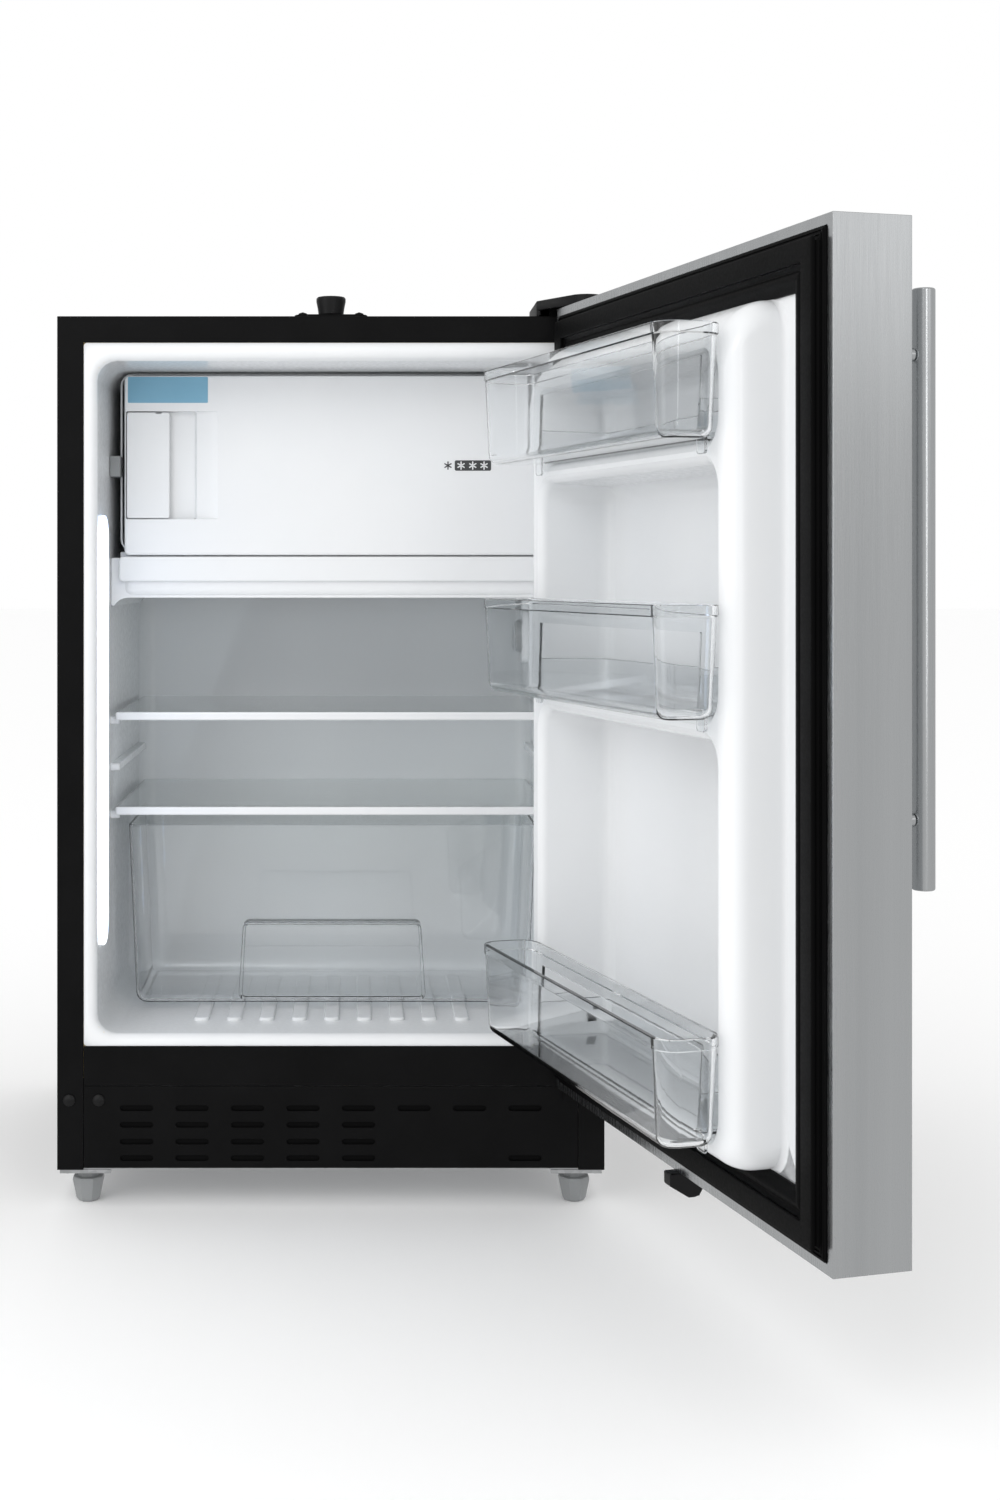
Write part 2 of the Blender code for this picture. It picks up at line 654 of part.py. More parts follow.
def door_inside(leaf, looks, skin):
    half, back = HALF_WIDTH - skin - GAP, DOOR_BACK - 0.0013
    pan = (PAN_HALF, 0.183, 0.735)
    ring = (0.185, 0.1625, 0.7685)

    def pan_block(grown, low, high):
        return block((-pan[0] - grown, low, pan[1] - grown), (pan[0] + grown, high, pan[2] + grown))

    def dike_fill(grown, low, high):
        outer = (ring[0] - grown, ring[1] + grown, ring[2] - grown)
        inner = (pan[0] + grown - WALL, pan[1] - grown + WALL, pan[2] + grown - WALL)
        return (add_frame, outer, inner, low, high)

    foam = shaped("door_foam", leaf, looks["foam"],
                  block((-half, DOOR_FRONT + skin + GAP, DOOR_BOTTOM + skin + GAP),
                        (half, back, DOOR_TOP - skin - GAP)))
    cut(foam, pan_block(GAP, POCKET_FLOOR - WALL - GAP, 1))
    join(foam, dike_fill(WALL + GAP, back - 0.001, DIKE_CREST - WALL - GAP))
    cut(foam, rod((HINGE_X, HINGE_Y, 0), (HINGE_X, HINGE_Y, 1), BUSH_RADIUS + 0.001))

    edge = DOOR_LIP + GAP
    sheet = shaped("door_liner", leaf, looks["white_plastic"],
                   block((edge - HALF_WIDTH, DOOR_BACK - 0.001, DOOR_BOTTOM + edge),
                         (HALF_WIDTH - edge, DOOR_BACK, DOOR_TOP - edge)))
    join(sheet, block((-ring[0], DOOR_BACK - 0.0005, ring[1]), (ring[0], DIKE_CREST, ring[2])),
         pan_block(0, POCKET_FLOOR - WALL, 0.02))
    cut(sheet, pan_block(-WALL, POCKET_FLOOR, 1), dike_fill(WALL, -1, DIKE_CREST - WALL))
    for name in ("top", "middle"):
        low = BINS[name][0]
        join(sheet, block((-pan[0] + 0.001, POCKET_FLOOR - 0.001, low - 0.0163),
                          (pan[0] - 0.001, 0.030, low - GAP)))


def bins(leaf, looks):
    wall, floor, lap = 0.0022, 0.0025, 0.004
    step, back_half, back_high = DIKE_CREST + 0.0012, PAN_HALF - 0.0045, 0.030
    for name, (low, high) in BINS.items():
        height = high - low
        lift = empty(f"bin_{name}_lift", (0, 0, low), leaf)
        made = shaped(f"door_bin_{name}", lift, looks["clear_plastic"],
                      prism(round_fronted(BIN_HALF, step, BIN_FRONT, BIN_CORNER), "Z", 0, height))
        join(made, block((-back_half, POCKET_FLOOR + 0.003, 0), (back_half, step + lap, back_high)))
        inner = round_fronted(BIN_HALF - wall, step + wall, BIN_FRONT - wall, BIN_CORNER - wall)
        cut(made, prism(inner, "Z", floor, 1),
            block((wall - back_half, POCKET_FLOOR + 0.003 + wall, floor),
                  (back_half - wall, step + wall + lap, 1)))


def handle(leaf, looks):
    spot = HANDLE_X, HANDLE_Y
    shaped("handle_bar", leaf, looks["stainless"],
           rod((*spot, HANDLE_LOW), (*spot, HANDLE_HIGH), HANDLE_RADIUS, "Z", 20))
    for name, z in POST_HEIGHTS.items():
        shaped(f"handle_post_{name}", leaf, looks["stainless"],
               rod((HANDLE_X, HANDLE_Y + HANDLE_RADIUS + GAP, z), (HANDLE_X, DOOR_FRONT - GAP, z),
                   0.005, "Y"))


def all_looks():
    return {
        "black_steel": material("black_steel", (0.010, 0.010, 0.011), 0.5, 0.2),
        "black_plastic": material("black_plastic", (0.012, 0.012, 0.013), 0.4),
        "black_rubber": material("black_rubber", (0.015, 0.015, 0.015), 0.6),
        "stainless": material("stainless", (0.50, 0.51, 0.52), 0.32, 1.0),
        "chrome": material("chrome", (0.6, 0.6, 0.6), 0.2, 1.0),
        "galvanised": material("galvanised", (0.55, 0.56, 0.57), 0.45, 0.9),
        "white_plastic": material("white_plastic", (0.86, 0.87, 0.88), 0.25),
        "white_metal": material("white_metal", (0.80, 0.81, 0.82), 0.35),
        "grey_plastic": material("grey_plastic", (0.35, 0.36, 0.36), 0.45),
        "clear_plastic": material("clear_plastic", (0.85, 0.90, 0.93), 0.08, 0.0, 0.3),
        "glass": material("glass", (0.75, 0.88, 0.85), 0.05, 0.0, 0.35),
        "lens": material("lens", (0.90, 0.95, 1.0), 0.3, 0.0, 1.0, 1.0),
        "board": material("board", (0.75, 0.78, 0.76), 0.5),
        "foam": material("foam", (0.72, 0.58, 0.30), 0.9),
    }


def main():
    for old in list(bpy.data.objects):
        bpy.data.objects.remove(old)
    looks = all_looks()
    fridge = empty("fridge", (-CENTRE_X, -CENTRE_Y, 0))
    cabinet_shell(fridge, looks)
    liner(fridge, looks)
    light(fridge, looks)
    thermostat(fridge, looks)
    freezer(fridge, looks)
    shelves(fridge, looks)
    drawer(fridge, looks)
    lock(fridge, looks)
    hinges(fridge, looks)
    feet(fridge, looks)
    machine(fridge, looks)

    door_hinge = empty("door_hinge", (HINGE_X, HINGE_Y, 0), fridge)
    door_hinge.rotation_euler.z = OPEN_ANGLE
    leaf = empty("door_leaf", (-HINGE_X, -HINGE_Y, 0), door_hinge)
    door(leaf, looks)
    bins(leaf, looks)


main()
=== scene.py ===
# %% [markdown]
# # A small refrigerator with its door open
#
# This lesson finishes a 20-inch undercounter refrigerator. The measured model comes first: every
# steel part, shelf and hinge already has its true place. What follows gives those parts softened
# edges and real surfaces, and builds the moulded plastic that a measured model only sketches.

import json
from math import cos, pi, radians, sin

import bmesh
import bpy
from mathutils import Matrix, Vector

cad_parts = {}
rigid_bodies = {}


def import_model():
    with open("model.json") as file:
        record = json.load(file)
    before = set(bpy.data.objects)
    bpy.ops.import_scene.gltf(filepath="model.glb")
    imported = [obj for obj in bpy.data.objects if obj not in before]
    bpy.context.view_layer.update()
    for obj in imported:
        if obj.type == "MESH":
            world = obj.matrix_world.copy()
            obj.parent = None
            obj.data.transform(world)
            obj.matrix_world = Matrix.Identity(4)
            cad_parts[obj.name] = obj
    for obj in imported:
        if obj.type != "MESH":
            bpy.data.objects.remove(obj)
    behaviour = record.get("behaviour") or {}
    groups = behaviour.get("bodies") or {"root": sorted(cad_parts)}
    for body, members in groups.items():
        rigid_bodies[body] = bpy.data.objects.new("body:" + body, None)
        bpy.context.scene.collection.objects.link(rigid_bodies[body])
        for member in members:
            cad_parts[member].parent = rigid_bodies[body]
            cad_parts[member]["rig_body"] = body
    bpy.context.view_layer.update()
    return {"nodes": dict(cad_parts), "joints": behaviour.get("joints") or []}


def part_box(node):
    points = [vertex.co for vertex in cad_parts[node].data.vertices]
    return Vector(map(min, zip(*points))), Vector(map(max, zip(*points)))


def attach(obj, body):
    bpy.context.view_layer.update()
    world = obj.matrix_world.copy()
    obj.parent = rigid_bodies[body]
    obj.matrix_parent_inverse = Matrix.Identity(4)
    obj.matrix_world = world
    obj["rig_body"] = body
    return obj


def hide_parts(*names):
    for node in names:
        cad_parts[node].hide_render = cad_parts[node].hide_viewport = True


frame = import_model()
NODES = frame["nodes"]
print("parts in the measured model:", len(NODES))

# %% [markdown]
# ## Two places to work in
#
# A refrigerator is drawn most easily from its own front: X is zero at mid width, Y is zero at the
# front face and Z is zero at the floor. CABINET carries such a drawing to where the cabinet stands.
# The door is drawn shut, because every drawing of a door is, and DOOR swings it open on its pin.

# %% Places for the cabinet and for the open door
low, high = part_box("cabinet_wrap")
CABINET = Matrix.Translation(((low.x + high.x) / 2, low.y, 0))

low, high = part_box("top_hinge_pin")
pin = (low + high) / 2
swing = next(joint for joint in frame["joints"] if joint["name"] == "main_door_hinge")
open_angle = radians(-swing["range_deg"][0])
DOOR = (Matrix.Translation(pin) @ Matrix.Rotation(open_angle, 4, "Z")
        @ Matrix.Translation(-pin) @ CABINET)

# A drawing has u across, v up the page and w out of it. These stand the page up or turn it.
FLAT = Matrix.Identity(4)
FRONTAL = Matrix(((1, 0, 0, 0), (0, 0, 1, 0), (0, 1, 0, 0), (0, 0, 0, 1)))
SIDEWAYS = Matrix(((0, 0, 1, 0), (1, 0, 0, 0), (0, 1, 0, 0), (0, 0, 0, 1)))
print("door stands open by", round(-swing["range_deg"][0]), "degrees")

# %% [markdown]
# ## Camera
#
# A level camera keeps the appliance's upright edges upright in the picture. So the view is moved
# up and sideways with lens shift and not by tilting.

# %% Camera
EYE = Vector((0.023, -1.79, 0.5793))
LEVEL = Matrix.Rotation(radians(90), 4, "X")
lens = bpy.data.cameras.new("camera")
lens.lens = 47.04
lens.shift_x = 0.096
lens.shift_y = -0.118
camera = bpy.data.objects.new("camera", lens)
camera.matrix_world = CABINET @ Matrix.Translation(EYE) @ LEVEL
bpy.context.scene.collection.objects.link(camera)
bpy.context.scene.camera = camera
print("camera at", [round(value, 3) for value in camera.matrix_world.translation])

# %% [markdown]
# ## Helpers for surfaces
#
# No surface on a real appliance is one flat colour. Each material below starts from noise in
# the object's own metres, so a grain that is 1 mm wide on steel is 1 mm wide here too.

# %% Helpers for surfaces
LOOKS = {}


def new_look(slot):
    made = bpy.data.materials.new(slot + "_finish")
    made.use_nodes = True
    LOOKS[slot] = made
    return made.node_tree, made.node_tree.nodes["Principled BSDF"].inputs


def grain(tree, scale, stretch=(1, 1, 1), detail=3.0):
    """Noise with about this many features to the metre."""
    place = tree.nodes.new("ShaderNodeTexCoord")
    turn = tree.nodes.new("ShaderNodeMapping")
    turn.inputs["Scale"].default_value = stretch
    tree.links.new(place.outputs["Object"], turn.inputs["Vector"])
    made = tree.nodes.new("ShaderNodeTexNoise")
    made.inputs["Scale"].default_value = scale
    made.inputs["Detail"].default_value = detail
    tree.links.new(turn.outputs["Vector"], made.inputs["Vector"])
    return made.outputs["Fac"]


def between(tree, value, low, high):
    made = tree.nodes.new("ShaderNodeMapRange")
    made.inputs["From Min"].default_value = 0.3
    made.inputs["From Max"].default_value = 0.7
    made.inputs["To Min"].default_value = low
    made.inputs["To Max"].default_value = high
    tree.links.new(value, made.inputs["Value"])
    return made.outputs["Result"]


def shades(tree, value, first, second):
    """A colour that goes from the first to the second as the value rises."""
    made = tree.nodes.new("ShaderNodeValToRGB")
    made.color_ramp.elements[0].position = 0.3
    made.color_ramp.elements[0].color = (*first, 1)
    made.color_ramp.elements[1].position = 0.7
    made.color_ramp.elements[1].color = (*second, 1)
    tree.links.new(value, made.inputs["Fac"])
    return made.outputs["Color"]


def raised(tree, shader, value, height):
    """Bumps of this height in metres."""
    made = tree.nodes.new("ShaderNodeBump")
    made.inputs["Strength"].default_value = 1.0
    made.inputs["Distance"].default_value = height
    tree.links.new(value, made.inputs["Height"])
    tree.links.new(made.outputs["Normal"], shader["Normal"])


def worn_look(slot, first, second, rough, scale, height, metallic=0.0, stretch=(1, 1, 1)):
    """The usual finish: two close shades, a roughness that varies, and a fine grain."""
    tree, shader = new_look(slot)
    broad = grain(tree, scale / 40, stretch)
    fine = grain(tree, scale, stretch)
    tree.links.new(shades(tree, broad, first, second), shader["Base Color"])
    tree.links.new(between(tree, fine, *rough), shader["Roughness"])
    shader["Metallic"].default_value = metallic
    raised(tree, shader, fine, height)
    return tree, shader


# %% [markdown]
# ## Metals
#
# The wrap is powder coated: baked powder leaves a fine orange peel that breaks up highlights. The
# door's stainless sheet is brushed from top to bottom, so its noise is squeezed across and drawn
# out upwards. Galvanised sheet shows zinc crystals, which a cell pattern gives.

# %% Metals
tree, shader = worn_look("black_steel", (0.0032, 0.0032, 0.0034), (0.0046, 0.0046, 0.0049),
                         (0.42, 0.58), 900, 0.00005)
shader["Specular IOR Level"].default_value = 0.10

worn_look("stainless", (0.56, 0.575, 0.585), (0.62, 0.635, 0.645), (0.20, 0.30), 2600, 0.000008,
          1.0, (1, 1, 0.010))

worn_look("chrome", (0.62, 0.62, 0.63), (0.70, 0.70, 0.71), (0.06, 0.16), 700, 0.000003, 1.0)

tree, shader = new_look("galvanised")
place = tree.nodes.new("ShaderNodeTexCoord")
crystals = tree.nodes.new("ShaderNodeTexVoronoi")
crystals.inputs["Scale"].default_value = 160
tree.links.new(place.outputs["Object"], crystals.inputs["Vector"])
tree.links.new(shades(tree, crystals.outputs["Color"], (0.50, 0.51, 0.52), (0.60, 0.61, 0.62)),
               shader["Base Color"])
tree.links.new(between(tree, crystals.outputs["Color"], 0.30, 0.52), shader["Roughness"])
shader["Metallic"].default_value = 0.95
raised(tree, shader, grain(tree, 500), 0.00002)
print("metals:", sorted(LOOKS))

# %% [markdown]
# ## Plastics, rubber and glass
#
# The liners are vacuum formed from glossy white sheet, whose surface is never quite flat. The
# door's bins and the crisper are clear moulded plastic, and the shelves are toughened glass, which
# is very slightly green. The gasket is soft vinyl.

# %% Plastics, rubber and glass
worn_look("white_plastic", (0.84, 0.855, 0.87), (0.87, 0.88, 0.89), (0.16, 0.26), 260, 0.000012)
worn_look("white_metal", (0.78, 0.80, 0.82), (0.82, 0.835, 0.85), (0.28, 0.40), 800, 0.00001)
tree, shader = worn_look("black_plastic", (0.0045, 0.0045, 0.005), (0.007, 0.007, 0.0075),
                         (0.32, 0.46), 700, 0.00002)
shader["Specular IOR Level"].default_value = 0.25
tree, shader = worn_look("black_rubber", (0.0018, 0.0018, 0.0019), (0.0028, 0.0028, 0.0030),
                         (0.42, 0.54), 500, 0.00002)
shader["Specular IOR Level"].default_value = 0.07
worn_look("grey_plastic", (0.25, 0.26, 0.265), (0.30, 0.31, 0.315), (0.38, 0.52), 600, 0.00003)
worn_look("board", (0.70, 0.73, 0.72), (0.78, 0.80, 0.79), (0.4, 0.5), 400, 0.00001)
worn_look("foam", (0.66, 0.52, 0.26), (0.76, 0.62, 0.34), (0.85, 0.95), 300, 0.0004)
worn_look("label", (0.19, 0.42, 0.58), (0.22, 0.46, 0.62), (0.35, 0.45), 900, 0.000005)
worn_look("dark_print", (0.045, 0.048, 0.05), (0.06, 0.063, 0.065), (0.35, 0.45), 900, 0.000005)
worn_look("white_print", (0.86, 0.87, 0.88), (0.90, 0.91, 0.92), (0.3, 0.4), 900, 0.000005)


def lit_through(tree, tint):
    """Lets the lamps' light pass straight through, as thin clear walls do."""
    surface = tree.nodes["Principled BSDF"].outputs["BSDF"]
    target = tree.nodes["Material Output"].inputs["Surface"]
    ray = tree.nodes.new("ShaderNodeLightPath")
    open_side = tree.nodes.new("ShaderNodeBsdfTransparent")
    open_side.inputs["Color"].default_value = (*tint, 1)
    choice = tree.nodes.new("ShaderNodeMixShader")
    tree.links.new(ray.outputs["Is Shadow Ray"], choice.inputs["Fac"])
    tree.links.new(surface, choice.inputs[1])
    tree.links.new(open_side.outputs["BSDF"], choice.inputs[2])
    tree.links.new(choice.outputs["Shader"], target)


for slot, tint in (("clear_plastic", (0.975, 0.985, 0.99)), ("glass", (0.957, 0.980, 0.975))):
    tree, shader = new_look(slot)
    lit_through(tree, tint)
    shader["Base Color"].default_value = (*tint, 1)
    shader["Transmission Weight"].default_value = 1.0
    shader["IOR"].default_value = 1.45
    tree.links.new(between(tree, grain(tree, 120), 0.01, 0.04), shader["Roughness"])
    raised(tree, shader, grain(tree, 60), 0.00002)

tree, shader = new_look("lens")
rows = tree.nodes.new("ShaderNodeTexWave")
rows.bands_direction = "Z"
rows.inputs["Scale"].default_value = 10
place = tree.nodes.new("ShaderNodeTexCoord")
tree.links.new(place.outputs["Object"], rows.inputs["Vector"])
shader["Base Color"].default_value = (0.9, 0.94, 1.0, 1)
shader["Roughness"].default_value = 0.3
tree.links.new(shades(tree, rows.outputs["Fac"], (0.55, 0.70, 1.0), (0.92, 0.96, 1.0)),
               shader["Emission Color"])
shader["Emission Strength"].default_value = 1.6
print("all finishes:", len(LOOKS))

# %% [markdown]
# ## Helpers for shapes
#
# Nearly everything here is a rectangle with round corners that changes on its way: a pocket
# narrows as it deepens, a bin widens towards its rim. So the main helper is a loft. Each ring is a
# one-face grid whose corners are bevelled, and neighbouring rings are bridged.

# %% Helpers for shapes
def ring(mesh, page, left, low, right, high, depth, radius, steps):
    """The edges of a round-cornered rectangle."""
    start = bmesh.ops.create_grid(mesh, x_segments=1, y_segments=1, size=0.5)
    points = start["verts"]
    bmesh.ops.scale(mesh, vec=(right - left, high - low, 1), verts=points)
    bmesh.ops.translate(mesh, vec=((left + right) / 2, (low + high) / 2, depth), verts=points)
    cut = bmesh.ops.bevel(mesh, geom=points, offset=max(radius, 0.0001), offset_type="OFFSET",
                          segments=steps, profile=0.5, affect="VERTICES", material=-1)
    points = cut["verts"]
    face = next(face for face in points[0].link_faces if len(face.verts) == len(points))
    edges = list(face.edges)
    bmesh.ops.delete(mesh, geom=[face], context="FACES_ONLY")
    bmesh.ops.transform(mesh, matrix=page, verts=points)
    return edges


def loft(mesh, page, rings, steps=5, ends=(True, True)):
    """Bridges rings of (left, low, right, high, depth, corner radius)."""
    loops = [ring(mesh, page, *one, steps) for one in rings]
    for first, second in zip(loops, loops[1:]):
        bmesh.ops.bridge_loops(mesh, edges=first + second)
    for wanted, loop in zip(ends, (loops[0], loops[-1])):
        if wanted:
            bmesh.ops.contextual_create(mesh, geom=loop)
    return loops


def quarter(radius, steps=4):
    """Pairs of (inset, rise) along a quarter of a circle, from a wall to a flat top."""
    turns = [pi / 2 * step / steps for step in range(steps + 1)]
    return [(radius * (1 - cos(turn)), radius * sin(turn)) for turn in turns]


def slab(mesh, page, left, low, right, high, near, far, radius, edge=0.001, steps=4):
    """A solid with round corners whose edges at both ends are round too."""
    rings = []
    for inset, rise in quarter(edge)[::-1]:
        rings.append((left + inset, low + inset, right - inset, high - inset,
                      near + edge - rise, max(radius - inset, 0.0002)))
    for inset, rise in quarter(edge):
        rings.append((left + inset, low + inset, right - inset, high - inset,
                      far - edge + rise, max(radius - inset, 0.0002)))
    loft(mesh, page, rings, steps)


def turned(profile, steps=32):
    """Spins a profile of (radius, height) round the upright line through zero."""
    mesh = bmesh.new()
    points = [mesh.verts.new((radius, 0, height)) for radius, height in profile]
    edges = [mesh.edges.new(pair) for pair in zip(points, points[1:])]
    bmesh.ops.spin(mesh, geom=points + edges, cent=(0, 0, 0), axis=(0, 0, 1), angle=2 * pi,
                   steps=steps, use_merge=True)
    bmesh.ops.remove_doubles(mesh, verts=mesh.verts[:], dist=0.000005)
    return mesh


def face_out(mesh):
    bmesh.ops.recalc_face_normals(mesh, faces=mesh.faces[:])
    if mesh.calc_volume(signed=True) < 0:
        bmesh.ops.reverse_faces(mesh, faces=mesh.faces[:])


def finish(name, mesh, place, look, node, replace=True, recalc=True):
    """Turns a mesh into a piece that rides where its measured part rides."""
    if recalc:
        face_out(mesh)
    bmesh.ops.transform(mesh, matrix=place, verts=mesh.verts[:])
    data = bpy.data.meshes.new(name)
    mesh.to_mesh(data)
    mesh.free()
    data.materials.append(LOOKS[look])
    made = bpy.data.objects.new(name, data)
    bpy.context.scene.collection.objects.link(made)
    smooth(made)
    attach(made, NODES[node]["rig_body"])
    if replace:
        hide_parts(node)
    return made


def smooth(made):
    made.data.shade_smooth()
    made.data.set_sharp_from_angle(angle=radians(34))
    even = made.modifiers.new("even shading", "WEIGHTED_NORMAL")
    even.keep_sharp = True


def carve(made, shapes, operation="DIFFERENCE"):
    """Takes each shape away from a finished piece, or adds it, and keeps the result as its mesh."""
    kept = [step.type for step in made.modifiers]
    made.modifiers.clear()
    helpers = []
    for shape in shapes:
        face_out(shape)
        data = bpy.data.meshes.new("helper")
        shape.to_mesh(data)
        shape.free()
        helper = bpy.data.objects.new("helper", data)
        bpy.context.scene.collection.objects.link(helper)
        step = made.modifiers.new("carve", "BOOLEAN")
        step.operation = operation
        step.solver = "MANIFOLD"
        step.object = helper
        helpers.append(helper)
    graph = bpy.context.evaluated_depsgraph_get()
    graph.update()
    data = bpy.data.meshes.new_from_object(made.evaluated_get(graph))
    made.modifiers.clear()
    old = made.data
    made.data = data
    data.name = old.name
    bpy.data.meshes.remove(old)
    for helper in helpers:
        bpy.data.meshes.remove(helper.data)
    if "WEIGHTED_NORMAL" in kept:
        smooth(made)


def moved(mesh, place):
    bmesh.ops.transform(mesh, matrix=place, verts=mesh.verts[:])
    return mesh


def join_in(mesh, small):
    """Adds a small mesh to a bigger one, and frees the small one."""
    data = bpy.data.meshes.new("small")
    small.to_mesh(data)
    small.free()
    mesh.from_mesh(data)
    bpy.data.meshes.remove(data)


SLOT_OF = {name: node.data.materials[0].name.split(".")[0] for name, node in NODES.items()}


def softened(node, width=0.0006, segments=2):
    """A measured part with its triangles merged into faces and its edges rounded."""
    mesh = bmesh.new()
    mesh.from_mesh(NODES[node].data)
    bmesh.ops.remove_doubles(mesh, verts=mesh.verts[:], dist=0.00001)
    bmesh.ops.dissolve_limit(mesh, angle_limit=radians(1), verts=mesh.verts[:],
                             edges=mesh.edges[:])
    corners = [edge for edge in mesh.edges
               if edge.is_manifold and edge.calc_face_angle(0) > radians(50)]
    bmesh.ops.bevel(mesh, geom=corners, offset=width, segments=segments, profile=0.5,
                    affect="EDGES", clamp_overlap=True, material=-1)
    return finish(node + "_rounded", mesh, FLAT, SLOT_OF[node], node, recalc=False)


print("slots in use:", sorted(set(SLOT_OF.values())))

# %% [markdown]
# ## Steel cabinet
#
# The outside is one folded steel wrap with a flange turned in round the front. Folded sheet has no
# sharp edge anywhere: its bend radius is about its own thickness. The flange is cut at 45 degrees
# where its top and sides meet, and that cut shows as a fine line.

# %% Steel cabinet
for node in ("rear_panel", "base_pan", "machine_cover", "lower_front_rail", "toe_grille"):
    softened(node, 0.0003)
wrap = softened("cabinet_wrap", 0.0005)
low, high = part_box("cabinet_wrap")
mitres = []
for side, corner in ((-1, low.x), (1, high.x)):
    cut = bmesh.new()
    bmesh.ops.create_cube(cut, size=1)
    bmesh.ops.scale(cut, vec=(0.060, 0.0014, 0.0010), verts=cut.verts[:])
    turn = Matrix.Rotation(radians(45) * side, 4, "Y")
    bmesh.ops.transform(cut, matrix=Matrix.Translation((corner, low.y, high.z)) @ turn,
                        verts=cut.verts[:])
    mitres.append(cut)
carve(wrap, mitres)
for node in ("hole_plug_flange", "hole_plug_grille"):
    softened(node, 0.0002)
# A thin black sheet just behind the grille is painted shade: it stands where the base is only in
# shade, so that the grille's slots read dark.
behind = (CABINET.inverted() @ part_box("toe_grille")[1]).y + 0.001
mesh = bmesh.new()
slab(mesh, FRONTAL, -0.220, 0.040, 0.220, 0.108, behind, behind + 0.001, 0.002, 0.0003)
finish("dust_screen", mesh, CABINET, "black_rubber", "toe_grille", replace=False)
print("wrap faces:", len(wrap.data.polygons))

# %% [markdown]
# ## Inner liner
#
# The white inside of the cabinet is one sheet of plastic, heated and sucked into a mould. So it
# has no sharp corner, it rolls over into a flat flange round the opening, and it steps up at the
# back over the compressor. The shelf ledges and the ribs of the floor are formed in it.

# %% Inner liner
HALF, FLOOR, CEILING = 0.214, 0.1575, 0.7736
STEP_FRONT, STEP_TOP, BACK = 0.270, 0.315, 0.365
FLANGE_HALF, FLANGE_LOW, FLANGE_HIGH = 0.2256, 0.1474, 0.7895
FACE = 0.0003

mesh = bmesh.new()
bmesh.ops.create_cube(mesh, size=1)
bmesh.ops.scale(mesh, vec=(2 * HALF, STEP_FRONT - FACE, CEILING - FLOOR), verts=mesh.verts[:])
bmesh.ops.translate(mesh, vec=(0, (STEP_FRONT + FACE) / 2, (CEILING + FLOOR) / 2),
                    verts=mesh.verts[:])
bmesh.ops.bisect_plane(mesh, geom=mesh.verts[:] + mesh.edges[:] + mesh.faces[:],
                       plane_co=(0, 0, STEP_TOP), plane_no=(0, 0, 1))
upper = [face for face in mesh.faces if face.normal.y > 0.9
         and face.calc_center_median().z > STEP_TOP]
grown = bmesh.ops.extrude_face_region(mesh, geom=upper)
tips = [item for item in grown["geom"] if isinstance(item, bmesh.types.BMVert)]
bmesh.ops.translate(mesh, vec=(0, BACK - STEP_FRONT, 0), verts=tips)
bmesh.ops.dissolve_limit(mesh, angle_limit=radians(1), verts=mesh.verts[:], edges=mesh.edges[:])
mouth = [face for face in mesh.faces if face.normal.y < -0.9]
bmesh.ops.delete(mesh, geom=mouth, context="FACES_ONLY")
middle = Vector((0, STEP_FRONT, STEP_TOP))
bends = [edge for edge in mesh.edges if not edge.is_boundary
         and (sum((vert.co for vert in edge.verts), Vector()) / 2 - middle).length > 0.001]
bmesh.ops.bevel(mesh, geom=bends, offset=0.018, segments=5, profile=0.5, affect="EDGES",
                material=-1)
bends = [edge for edge in mesh.edges if edge.calc_face_angle(0) > radians(40)]
bmesh.ops.bevel(mesh, geom=bends, offset=0.0030, segments=3, profile=0.5, affect="EDGES",
                material=-1)
mouth = [edge for edge in mesh.edges if edge.is_boundary]
flange = ring(mesh, FRONTAL, -FLANGE_HALF, FLANGE_LOW, FLANGE_HALF, FLANGE_HIGH, FACE, 0.003, 5)
bmesh.ops.bridge_loops(mesh, edges=mouth + flange)
mouth = [edge for edge in mouth if edge.is_valid]
bmesh.ops.bevel(mesh, geom=mouth, offset=0.008, segments=6, profile=0.5, affect="EDGES",
                material=-1)
bmesh.ops.recalc_face_normals(mesh, faces=mesh.faces[:])
inward = sum(face.calc_area() * face.normal.dot(Vector((0, 0.18, 0.47)) - face.calc_center_median())
             for face in mesh.faces)
if inward < 0:
    bmesh.ops.reverse_faces(mesh, faces=mesh.faces[:])
liner = finish("liner", mesh, CABINET, "white_plastic", "inner_liner", recalc=False)
sheet = liner.modifiers.new("sheet", "SOLIDIFY")
sheet.thickness = 0.0018
sheet.offset = -1

LEDGE_TOPS = (0.4405, 0.3953, 0.3493)
mesh = bmesh.new()
for top in LEDGE_TOPS:
    for left, right in ((-0.2155, -0.2055), (0.2055, 0.2155)):
        slab(mesh, SIDEWAYS, 0.106, top - 0.0075, 0.345, top, left, right, 0.003, 0.0015)
finish("liner_ledges", mesh, CABINET, "white_plastic", "inner_liner")

mesh = bmesh.new()
for rib in range(-4, 5):
    middle = 0.0307 * rib
    slab(mesh, FLAT, middle - 0.0072, 0.055, middle + 0.0072, 0.250, 0.1560, 0.1605, 0.006, 0.0022)
finish("liner_floor_ribs", mesh, CABINET, "white_plastic", "inner_liner")
print("liner faces:", len(liner.data.polygons))

# %% [markdown]
# ## Light, thermostat and freezer box
#
# The strip light is a frosted lens with a row of small lamps behind it. The thermostat is a
# moulded box on the right wall. The freezer box is coated metal, and a tray under it catches drips.

# %% Light, thermostat and freezer box
mesh = bmesh.new()
slab(mesh, SIDEWAYS, 0.010, 0.234, 0.055, 0.633, -0.2139, -0.2095, 0.0215, 0.0018, 8)
finish("light_lens", mesh, CABINET, "lens", "led_lens")
softened("thermostat_housing", 0.0015, 3)
softened("thermostat_knob", 0.0008)
softened("freezer_box", 0.0005)
softened("freezer_latch_catch", 0.001)

mesh = bmesh.new()
half, front, back, low, rim, wall = 0.2055, 0.1015, 0.345, 0.556, 0.5952, 0.002


